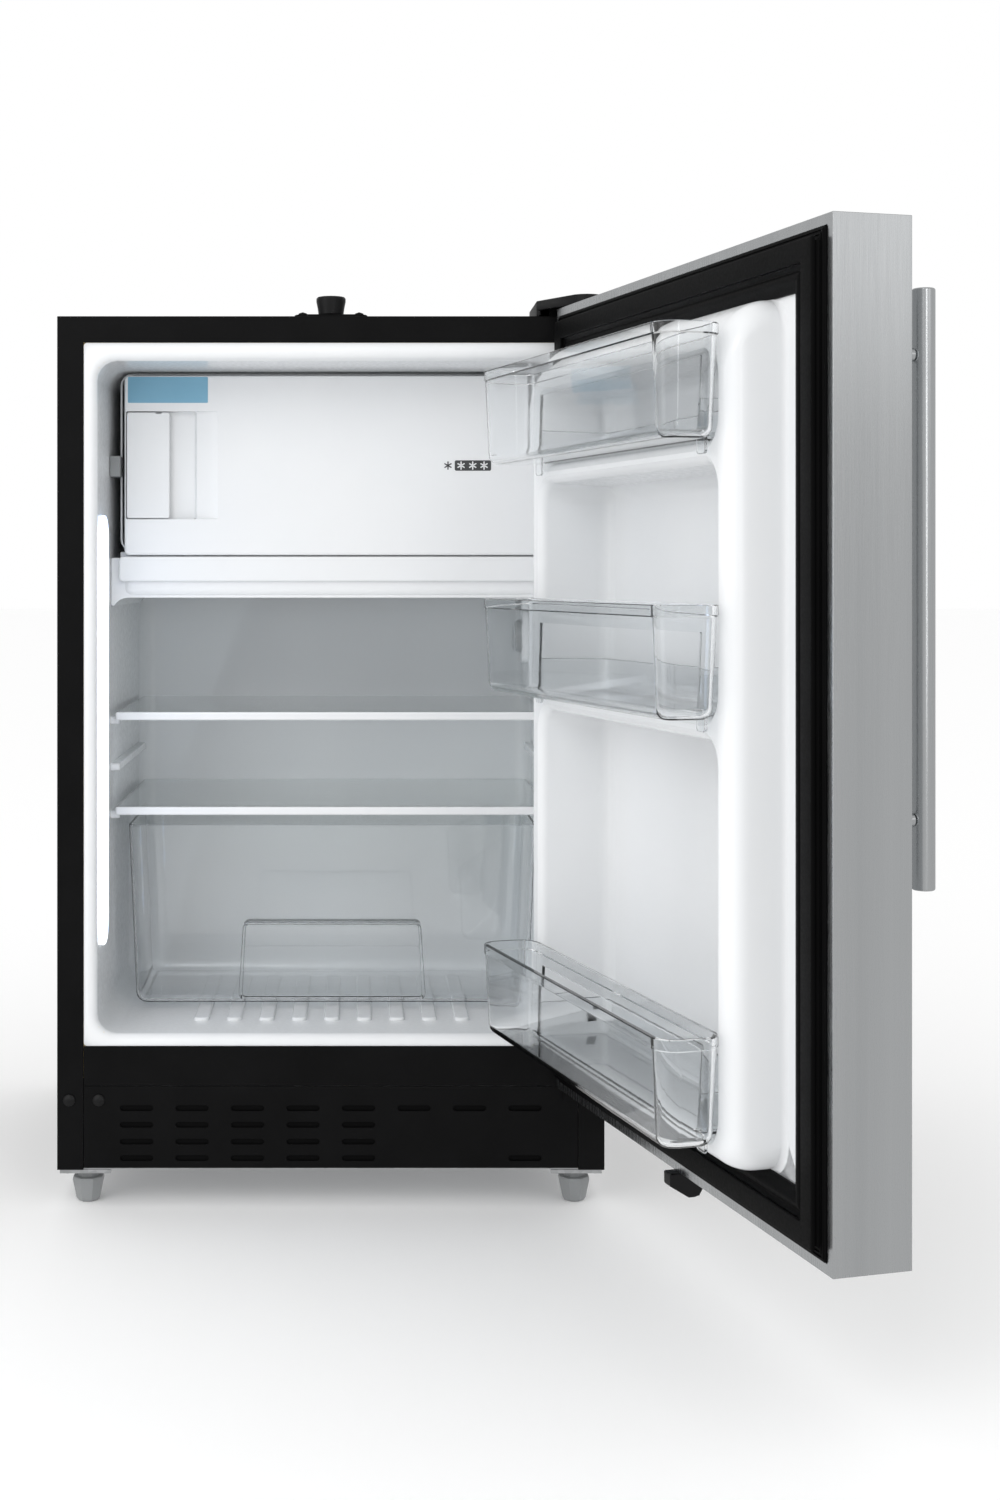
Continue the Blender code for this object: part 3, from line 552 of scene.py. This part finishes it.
def tray_ring(inset, height, radius):
    return (-half + inset, front + inset, half - inset, back - inset, height, radius)


rings = [tray_ring(0.012, low, 0.006)]
rings += [tray_ring(inset, low + 0.008 - rise, 0.014 - inset)
          for inset, rise in quarter(0.008)[::-1]]
rings += [tray_ring(0, rim, 0.014), tray_ring(wall, rim, 0.012)]
rings += [tray_ring(wall, low + 0.008, 0.012), tray_ring(0.012, low + wall, 0.006)]
loft(mesh, FLAT, rings)
slab(mesh, FRONTAL, -half, 0.571, half, rim, 0.0968, 0.1035, 0.004, 0.002)
slab(mesh, FRONTAL, -half, 0.590, half, 0.5996, 0.1108, 0.1122, 0.001, 0.0004)
finish("drip_tray_moulded", mesh, CABINET, "white_plastic", "drip_tray")

mesh = bmesh.new()
slab(mesh, FRONTAL, -0.2138, 0.5475, 0.2138, 0.5940, 0.1045, 0.3400, 0.002, 0.001)
housing = finish("freezer_housing", mesh, CABINET, "white_plastic", "drip_tray", replace=False)
arch = bmesh.new()
slab(arch, FRONTAL, -0.2125, 0.4500, 0.2125, 0.5555, 0.0900, 0.3600, 0.0150, 0.0010, 6)
carve(housing, [moved(arch, CABINET)])
print("light and freezer box done")

# %% [markdown]
# ## Freezer door
#
# The inner door is a white moulding with soft edges. Fingers reach behind its pull flap through a
# scoop, which is deep beside the flap and slopes back out to the face. A row of stars is the usual
# mark of a freezer's rating, and a plain coloured patch stands for its paper label.

# %% Freezer door
mesh = bmesh.new()
slab(mesh, FRONTAL, -0.200, 0.5965, 0.200, 0.7695, 0.096, 0.110, 0.005, 0.0025, 5)
freezer = finish("freezer_door_moulded", mesh, CABINET, "white_plastic", "freezer_door")
SLOPE = ((-0.1080, 0.0940), (-0.1100, 0.0962), (-0.1160, 0.0985), (-0.1250, 0.1005),
         (-0.1305, 0.1010), (-0.1330, 0.1058))
scoop = bmesh.new()
loft(scoop, FRONTAL, [(-0.1985, 0.631, right, 0.735, depth, 0.002) for right, depth in SLOPE])
carve(freezer, [moved(scoop, CABINET)])

mesh = bmesh.new()
slab(mesh, FRONTAL, -0.1978, 0.632, -0.1565, 0.734, 0.0964, 0.1002, 0.0025, 0.0012)
flap = finish("freezer_flap_moulded", mesh, CABINET, "white_plastic", "freezer_handle_flap")
notch = bmesh.new()
slab(notch, FRONTAL, -0.1700, 0.7325, -0.1640, 0.7360, 0.0900, 0.1040, 0.001, 0.0005)
carve(flap, [moved(notch, CABINET)])

mesh = bmesh.new()
slab(mesh, FRONTAL, -0.1965, 0.7430, -0.1195, 0.7680, 0.0957, 0.0961, 0.0010, 0.00015)
finish("freezer_label", mesh, CABINET, "label", "freezer_door", replace=False)

BAR_LOW, BAR_HIGH, PRINT = 0.6777, 0.6877, 0.0958
mesh = bmesh.new()
slab(mesh, FRONTAL, 0.1180, BAR_LOW, 0.1530, BAR_HIGH, PRINT, 0.0961, 0.0015, 0.0001)
finish("freezer_rating_bar", mesh, CABINET, "dark_print", "freezer_door", replace=False)


def star(mesh, x, z, near):
    """Six arms, as three short bars that cross."""
    for turn in (0, 60, 120):
        arm = bmesh.new()
        slab(arm, FRONTAL, -0.0006, -0.0040, 0.0006, 0.0040, near, near + 0.0003, 0.0004, 0.0001, 2)
        spin = Matrix.Translation((x, 0, z)) @ Matrix.Rotation(radians(turn), 4, "Y")
        join_in(mesh, moved(arm, spin))


middle = (BAR_LOW + BAR_HIGH) / 2
mesh = bmesh.new()
for x in (0.1241, 0.1353, 0.1462):
    star(mesh, x, middle, PRINT - 0.0002)
finish("freezer_rating_stars", mesh, CABINET, "white_print", "freezer_door", replace=False)
mesh = bmesh.new()
star(mesh, 0.1115, middle, PRINT)
finish("freezer_rating_star_dark", mesh, CABINET, "dark_print", "freezer_door", replace=False)
print("freezer door faces:", len(freezer.data.polygons))

# %% [markdown]
# ## Shelves and crisper
#
# Each shelf is a 4 mm pane with a white trim pressed on its front edge. The crisper is a clear
# moulded box that widens upwards, so that it leaves its mould, with a hooded grip on its front.

# %% Shelves and crisper
for name in ("upper_shelf", "lower_shelf"):
    top = (CABINET.inverted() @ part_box(name + "_trim")[1]).z
    mesh = bmesh.new()
    slab(mesh, FLAT, -0.2088, 0.104, 0.2088, 0.355, top - 0.004, top, 0.003, 0.0006)
    finish(name + "_pane", mesh, CABINET, "glass", name + "_glass")
    mesh = bmesh.new()
    slab(mesh, FRONTAL, -0.2088, top - 0.008, 0.2088, top, 0.098, 0.1037, 0.0018, 0.0018)
    finish(name + "_edge", mesh, CABINET, "white_plastic", name + "_trim")


def tub(mesh, page, outer, low, high, wall, draft, corner, foot):
    """An open box: up the outside, over the rim, down the inside. outer is its rim's rectangle."""
    left, near, right, far = outer
    depth = high - low

    def level(z, inset, radius):
        side = inset + draft * (high - z) / depth
        return (left + side, near + inset, right - side, far - inset, z, max(radius, 0.0005))

    rings = []
    for inset, rise in quarter(foot, 4)[::-1]:
        rings.append(level(low + foot - rise, inset, corner - inset))
    rings.append(level(high - 0.0008, 0, corner))
    rings.append(level(high, 0.0008, corner - 0.0008))
    rings.append(level(high, wall - 0.0006, corner - wall))
    rings.append(level(high - 0.0006, wall, corner - wall))
    for inset, rise in quarter(foot - wall / 2, 4):
        rings.append(level(low + wall / 2 + foot - rise, wall + inset, corner - wall - inset))
    loft(mesh, page, rings, 5)


mesh = bmesh.new()
tub(mesh, FLAT, (-0.1980, 0.1040, 0.1980, 0.2620), 0.1632, 0.3360, 0.0025, 0.0075, 0.014, 0.008)
crisper = finish("crisper_moulded", mesh, CABINET, "clear_plastic", "crisper_drawer")


def flared(mesh):
    """Widens the foot of the grip's hood a little, so that it leaves the mould."""
    foot = [vert for vert in mesh.verts if vert.co.z < 0.2]
    bmesh.ops.scale(mesh, vec=(1.045, 1, 1), verts=foot)


hood = bmesh.new()
slab(hood, FRONTAL, -0.0860, 0.1690, 0.0860, 0.2440, 0.0922, 0.1125, 0.006, 0.002)
flared(hood)
carve(crisper, [moved(hood, CABINET)], "UNION")
hollow = bmesh.new()
slab(hollow, FRONTAL, -0.0838, 0.1500, 0.0838, 0.2418, 0.0944, 0.1043, 0.004, 0.001)
grip = bmesh.new()
slab(grip, FRONTAL, -0.0838, 0.1500, 0.0838, 0.2210, 0.0900, 0.1000, 0.003, 0.0005)
for shape in (hollow, grip):
    flared(shape)
carve(crisper, [moved(shape, CABINET) for shape in (hollow, grip)])
print("crisper faces:", len(crisper.data.polygons))

# %% [markdown]
# ## Main door
#
# The door's skin is folded stainless sheet, with a narrow lip turned in round the back. Its liner
# is another vacuum-formed sheet: a raised dike runs round it, and three pockets with soft corners
# lie inside the dike. Here a lofted block makes the dike, and three lofted shapes are carved out.

# %% Door skin and liner
softened("door_skin", 0.0007, 3)
for name in ("upper", "lower"):
    softened("hinge_bush_" + name, 0.0004)
softened("door_lock_block", 0.0012, 3)

LINER_FACE, CREST, POCKET_FLOOR = -0.0101, 0.0350, -0.0300
POCKET_LEFT, POCKET_RIGHT = -0.166, 0.174
POCKETS = ((0.6720, 0.7350), (0.4780, 0.6557), (0.1830, 0.4617))


def pulled_in(reach, fall, drop):
    """How far a rounded edge has come in from its wall, this far below its top."""
    if drop >= fall:
        return 0.0
    return reach * (1 - (1 - (1 - drop / fall) ** 2) ** 0.5)


# The block behind the pockets, the flange, the fillet at the dike's foot, then the dike itself.
BEHIND, FLANGE = (-0.1700, 0.1790, 0.1780, 0.7390), (-0.2310, 0.1320, 0.2310, 0.7994)
EASED = (-0.2306, 0.1324, 0.2306, 0.7990)
FILLET, DIKE_STEPS, DIKE_RISE = 0.004, 13, 0.0405
FREE_ROUND, HINGE_ROUND = (0.014, 0.014), (0.008, 0.008)
TOP_ARC, FOOT_ARC = (0.046, 0.0408), (0.020, 0.0300)
mesh = bmesh.new()
rings = [(*BEHIND, -0.0335, 0.012), (*BEHIND, -0.0120, 0.012), (*FLANGE, -0.0120, 0.004),
         (*FLANGE, LINER_FACE - 0.0004, 0.004), (*EASED, LINER_FACE, 0.004)]
for inset, rise in quarter(FILLET):
    rings.append((-0.1890 + rise, 0.1580 + rise, 0.2005 - rise, 0.7745 - rise,
                  LINER_FACE + inset, 0.026 - rise))
for step in range(DIKE_STEPS + 1):
    drop = DIKE_RISE * (1 - sin(pi / 2 * step / DIKE_STEPS))
    side = pulled_in(*FREE_ROUND, drop)
    near_hinge = pulled_in(*HINGE_ROUND, drop)
    above = pulled_in(*TOP_ARC, drop)
    below = pulled_in(*FOOT_ARC, drop)
    rings.append((-0.1850 + side, 0.1620 + below, 0.1965 - near_hinge, 0.7705 - above,
                  CREST - drop, 0.021 - side))
loft(mesh, FRONTAL, rings, 6)
door_liner = finish("door_liner_moulded", mesh, DOOR, "white_plastic", "door_liner")

FLOOR_ROUND, MOUTH_ROUND, TAPER = 0.012, 0.008, 0.002
pockets = []
for low, high in POCKETS:
    pocket = bmesh.new()
    rings = []
    for inset, rise in quarter(FLOOR_ROUND, 5)[::-1]:
        both = inset + TAPER
        rings.append((POCKET_LEFT + both, low + both, POCKET_RIGHT - both, high - both,
                      POCKET_FLOOR + FLOOR_ROUND - rise, max(0.017 - inset, 0.005)))
    for turn in range(6):
        out = MOUTH_ROUND * (1 - cos(radians(15 * turn)))
        rise = MOUTH_ROUND * sin(radians(15 * turn))
        rings.append((POCKET_LEFT - out, low - out, POCKET_RIGHT + out, high + out,
                      CREST - MOUTH_ROUND + rise, 0.018 + out))
    rings.append((POCKET_LEFT - MOUTH_ROUND, low - MOUTH_ROUND, POCKET_RIGHT + MOUTH_ROUND,
                  high + MOUTH_ROUND, CREST + 0.002, 0.026))
    loft(pocket, FRONTAL, rings, 6)
    pockets.append(moved(pocket, DOOR))
carve(door_liner, pockets)
print("door liner faces:", len(door_liner.data.polygons))

mesh = bmesh.new()
slab(mesh, FRONTAL, -0.2485, 0.1145, 0.2485, 0.8169, -0.0675, -0.0125, 0.002, 0.001)
foam = finish("door_foam_block", mesh, DOOR, "foam", "door_foam")
well = bmesh.new()
slab(well, FRONTAL, -0.1712, 0.1778, 0.1792, 0.7402, -0.0345, 0.0500, 0.012, 0.001)
bushes = []
for low, high in ((0.100, 0.136), (0.790, 0.830)):
    bush = turned([(0, low), (0.0080, low), (0.0080, high), (0, high)])
    place = CABINET.inverted() @ Matrix.Translation((pin.x, pin.y, 0))
    bushes.append(moved(bush, DOOR @ place))
carve(foam, [moved(well, DOOR)] + bushes)

# %% [markdown]
# ## Gasket
#
# The soft seal is an extrusion with a ribbed foot, a hollow bulb that holds a magnet, a bellows
# that lets the bulb reach the cabinet, and a thin lip towards the liner. Four lengths are welded at
# mitres. OUTLINE is its section, as pairs of distance in from the door's edge and height. One
# rectangle is drawn at the first pair, and its edges are extruded and scaled to each next pair.

# %% Gasket
OUTLINE = ((0.0079, -0.0114), (0.0079, -0.0090), (0.0086, -0.0086), (0.0094, -0.0086),
           (0.0097, -0.0076), (0.0105, -0.0076), (0.0108, -0.0086), (0.0120, -0.0086),
           (0.0123, -0.0076), (0.0131, -0.0076), (0.0134, -0.0086), (0.0150, -0.0084),
           (0.0164, -0.0066), (0.0164, -0.0054), (0.0142, -0.0044), (0.0142, -0.0024),
           (0.0150, -0.0017), (0.0290, -0.0017), (0.0300, -0.0024), (0.0300, -0.0046),
           (0.0322, -0.0058), (0.0344, -0.0058), (0.0358, -0.0044), (0.0384, -0.0040),
           (0.0406, -0.0046), (0.0424, -0.0062), (0.0450, -0.0068), (0.0476, -0.0080),
           (0.0480, -0.0092), (0.0472, -0.0097), (0.0196, -0.0098), (0.0196, -0.0114))
WIDE, TALL, MIDDLE = 0.500, 0.7054, 0.4657
mesh = bmesh.new()
inset, height = OUTLINE[0]
edges = ring(mesh, FRONTAL, inset - WIDE / 2, MIDDLE - TALL / 2 + inset, WIDE / 2 - inset,
             MIDDLE + TALL / 2 - inset, height, 0.0012, 2)
for new_inset, new_height in OUTLINE[1:] + OUTLINE[:1]:
    grown = bmesh.ops.extrude_edge_only(mesh, edges=edges)["geom"]
    edges = [item for item in grown if isinstance(item, bmesh.types.BMEdge) and item.is_boundary]
    tips = [item for item in grown if isinstance(item, bmesh.types.BMVert)]
    across = (WIDE / 2 - new_inset) / (WIDE / 2 - inset)
    up = (TALL / 2 - new_inset) / (TALL / 2 - inset)
    bmesh.ops.scale(mesh, vec=(across, 1, up), space=Matrix.Translation((0, 0, -MIDDLE)),
                    verts=tips)
    bmesh.ops.translate(mesh, vec=(0, new_height - height, 0), verts=tips)
    inset, height = new_inset, new_height
bmesh.ops.remove_doubles(mesh, verts=mesh.verts[:], dist=0.00002)
seal = finish("gasket", mesh, DOOR, "black_rubber", "door_gasket")
print("gasket faces:", len(seal.data.polygons))

# %% [markdown]
# ## Door bins
#
# Each bin is one clear moulding: a deep part in front of the dike and a shallow part behind it in
# the pocket. A thicker band runs round its rim, and every corner is round.

# %% Door bins
def tub_solid(left, near, right, far, low, high, corner, foot, band=0.0, draft=0.0):
    """A round-cornered block that can widen upwards and have a thicker band round its rim."""
    mesh = bmesh.new()
    rings = []
    for inset, rise in quarter(foot, 4)[::-1]:
        inset = inset + band + draft
        rings.append((left + inset, near + inset, right - inset, far - inset, low + foot - rise,
                      max(corner - inset, 0.001)))
    if band:
        rings.append((left + band, near + band, right - band, far - band, high - 0.0085,
                      corner - band))
        rings.append((left, near, right, far, high - 0.0075, corner))
    rings.append((left, near, right, far, high - 0.0006, corner))
    rings.append((left + 0.0006, near + 0.0006, right - 0.0006, far - 0.0006, high,
                  corner - 0.0006))
    loft(mesh, FLAT, rings, 6)
    return mesh


WALL, BAND, DRAFT, BASE = 0.0022, 0.0011, 0.003, 0.0025
WIDE_HALF, WIDE_NEAR, WIDE_FAR = 0.1885, 0.0362, 0.0860
SLIM_HALF, SLIM_NEAR, SLIM_FAR, SLIM_TALL = 0.1570, -0.0220, 0.0440, 0.030
for name in ("top", "middle", "bottom"):
    node = "door_bin_" + name
    low, high = (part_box(node)[side].z for side in (0, 1))
    mesh = tub_solid(-WIDE_HALF, WIDE_NEAR, WIDE_HALF, WIDE_FAR, low, high, 0.017, 0.008, BAND,
                     DRAFT)
    made = finish(node + "_moulded", mesh, DOOR, "clear_plastic", node)
    slim = tub_solid(-SLIM_HALF, SLIM_NEAR, SLIM_HALF, SLIM_FAR, low, low + SLIM_TALL, 0.010, 0.005)
    carve(made, [moved(slim, DOOR)], "UNION")
    lugs = []
    for left in (-0.166, 0.152):
        lug = bmesh.new()
        slab(lug, FRONTAL, left, low - 0.0095, left + 0.014, low + 0.004, 0.0400, 0.0422, 0.003,
             0.0005)
        lugs.append(moved(lug, DOOR))
    carve(made, lugs, "UNION")
    inner = BAND + WALL
    voids = [tub_solid(-WIDE_HALF + inner, WIDE_NEAR + inner, WIDE_HALF - inner, WIDE_FAR - inner,
                       low + BASE, high + 0.010, 0.014, 0.006, 0.0, DRAFT),
             tub_solid(-SLIM_HALF + WALL, SLIM_NEAR + WALL, SLIM_HALF - WALL, SLIM_FAR + 0.002,
                       low + BASE, low + 2 * SLIM_TALL, 0.008, 0.004)]
    carve(made, [moved(void, DOOR) for void in voids])
    print(node, "faces:", len(made.data.polygons))

# %% [markdown]
# ## Handle
#
# The handle is a turned stainless bar on two short posts. Its ends are broken with a small round.

# %% Handle
local = DOOR.inverted()
low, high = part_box("handle_bar")
middle = local @ ((low + high) / 2)
RADIUS, BREAK, DOOR_FRONT = 0.0080, 0.0015, -0.0693
profile = [(0, low.z)]
profile += [(RADIUS - inset, low.z + BREAK - rise) for inset, rise in quarter(BREAK)[::-1]]
profile += [(RADIUS - inset, high.z - BREAK + rise) for inset, rise in quarter(BREAK)]
profile += [(0, high.z)]
mesh = moved(turned(profile, 48), Matrix.Translation((middle.x, middle.y, 0)))
finish("handle_bar_turned", mesh, DOOR, "stainless", "handle_bar")
for name in ("upper", "lower"):
    node = "handle_post_" + name
    low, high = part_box(node)
    spot = local @ ((low + high) / 2)
    start = middle.y + RADIUS + 0.0003
    length = DOOR_FRONT - start
    profile = [(0, 0), (0.0042, 0), (0.0050, 0.0008), (0.0050, length - 0.0020),
               (0.0058, length - 0.0006), (0.0058, length), (0, length)]
    place = Matrix.Translation((spot.x, start, spot.z)) @ Matrix.Rotation(radians(-90), 4, "X")
    finish(node + "_turned", moved(turned(profile, 32), place), DOOR, "stainless", node)
print("handle done")

# %% [markdown]
# ## Hinges, lock and feet
#
# The hinge brackets are bent steel under a moulded cover. The lock stands on the top, over a plate
# with two screws. Each levelling foot hangs from a galvanised plate with two rivets.

# %% Hinges, lock and feet
softened("top_hinge_cover", 0.0012, 3)
for node in ("top_hinge_bracket", "lower_hinge_bracket", "lock_plate"):
    softened(node, 0.0004)
for node in ("lock_screw_left", "lock_screw_right", "top_hinge_pin"):
    softened(node, 0.0003)
softened("lock_barrel", 0.0004)
RIVET = ((0, 0), (0.0030, 0), (0.0030, 0.0004), (0.0022, 0.0012), (0, 0.0016))
for row in ("front", "rear"):
    for side in ("left", "right"):
        softened(f"foot_{row}_{side}", 0.0005)
        plate = f"foot_plate_{row}_{side}"
        softened(plate, 0.0004)
        low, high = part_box(plate)
        mesh = bmesh.new()
        for shift in (-0.017, 0.017):
            rivet = turned(RIVET, 16)
            place = Matrix.Translation(((low.x + high.x) / 2 + shift, low.y + 0.006, low.z))
            join_in(mesh, moved(rivet, place @ Matrix.Rotation(pi, 4, "X")))
        finish(f"foot_rivets_{row}_{side}", mesh, FLAT, "galvanised", plate, replace=False)

# %% [markdown]
# ## Machine compartment
#
# Behind the cover at the back are the compressor, with its pressed and welded can, the pan that
# catches defrost water, the fan and the condenser tube.

# %% Machine compartment
low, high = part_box("compressor")
spot = (low + high) / 2
CAN = ((0, 0.0452), (0.0420, 0.0455), (0.0500, 0.0500), (0.0560, 0.0600), (0.0585, 0.0750),
       (0.0595, 0.1000), (0.0595, 0.1220), (0.0600, 0.1235), (0.0600, 0.1275), (0.0590, 0.1290),
       (0.0575, 0.1500), (0.0540, 0.1700), (0.0460, 0.1860), (0.0330, 0.1955), (0.0150, 0.1990),
       (0, 0.1998))
mesh = moved(turned(CAN, 48), Matrix.Translation((spot.x, spot.y, 0)))
finish("compressor_can", mesh, FLAT, "black_steel", "compressor")
for node in ("evaporation_pan", "fan_motor", "fan_blade"):
    softened(node, 0.0006)

for node in NODES.values():
    slot = SLOT_OF[node.name]
    for holder in node.material_slots:
        holder.material = LOOKS[slot]
print("every measured part has its finish")

# %% [markdown]
# ## Floor and light
#
# The studio is a pale floor under soft light from above and in front. White plastic needs broad
# lamps, so that its rolls and pockets shade gently. Steel needs something to mirror, so what it
# mirrors of the room is dimmer than the room's light. One tall strip draws the bright line along
# the handle, one lamp at the side lights the top of the door's edge, and a small one lights the
# inside as the strip lens does.

# %% Floor and light
mesh = bmesh.new()
bmesh.ops.create_grid(mesh, x_segments=1, y_segments=1, size=30)
data = bpy.data.meshes.new("floor")
mesh.to_mesh(data)
mesh.free()
floor = bpy.data.objects.new("floor", data)
floor.location.z = -0.0002
bpy.context.scene.collection.objects.link(floor)
paint = bpy.data.materials.new("floor_paint")
paint.use_nodes = True
shader = paint.node_tree.nodes["Principled BSDF"].inputs
shader["Base Color"].default_value = (1.0, 1.0, 1.0, 1)
shader["Roughness"].default_value = 0.9
shader["Specular IOR Level"].default_value = 0.1
data.materials.append(paint)
floor.visible_glossy = False

ROOM, MIRRORED_ROOM = 1.0, 0.56
world = bpy.data.worlds.new("studio")
world.use_nodes = True
tree = world.node_tree
room = tree.nodes["Background"].inputs
room["Color"].default_value = (1.0, 1.0, 1.0, 1)
ray = tree.nodes.new("ShaderNodeLightPath")
dimmer = tree.nodes.new("ShaderNodeMapRange")
dimmer.inputs["To Min"].default_value = ROOM
dimmer.inputs["To Max"].default_value = MIRRORED_ROOM
tree.links.new(ray.outputs["Is Glossy Ray"], dimmer.inputs["Value"])
tree.links.new(dimmer.outputs["Result"], room["Strength"])
bpy.context.scene.world = world
bpy.context.scene.view_settings.view_transform = "Standard"


def softbox(name, spot, aim, size, power):
    lamp = bpy.data.lights.new(name, "AREA")
    lamp.shape = "RECTANGLE"
    lamp.size, lamp.size_y = size
    lamp.energy = power
    made = bpy.data.objects.new(name, lamp)
    made.location = spot
    made.rotation_euler = (Vector(aim) - Vector(spot)).to_track_quat("-Z", "Y").to_euler()
    bpy.context.scene.collection.objects.link(made)
    return made


softbox("key", (-0.9, -2.2, 1.9), (-0.05, 0, 0.45), (1.4, 1.4), 10)
softbox("fill", (-1.6, -1.2, 0.7), (0.1, -0.1, 0.45), (0.8, 1.6), 3.5)
softbox("strip", (1.05, -3.0, 1.2), (0.32, -0.45, 0.6), (0.30, 1.8), 5)
softbox("side", (2.1, -2.2, 1.4), (0.33, -0.44, 0.75), (1.0, 0.8), 1.25)
spot = CABINET @ Vector((0, 0.112, 0.31))
inside = softbox("inside", spot, spot + Vector((0, 1, 0)), (0.40, 0.26), 0.22)
inside.data.color = (0.88, 0.94, 1.0)
inside.visible_camera = False
inside.visible_glossy = False
inside.visible_transmission = False
print("studio lit")
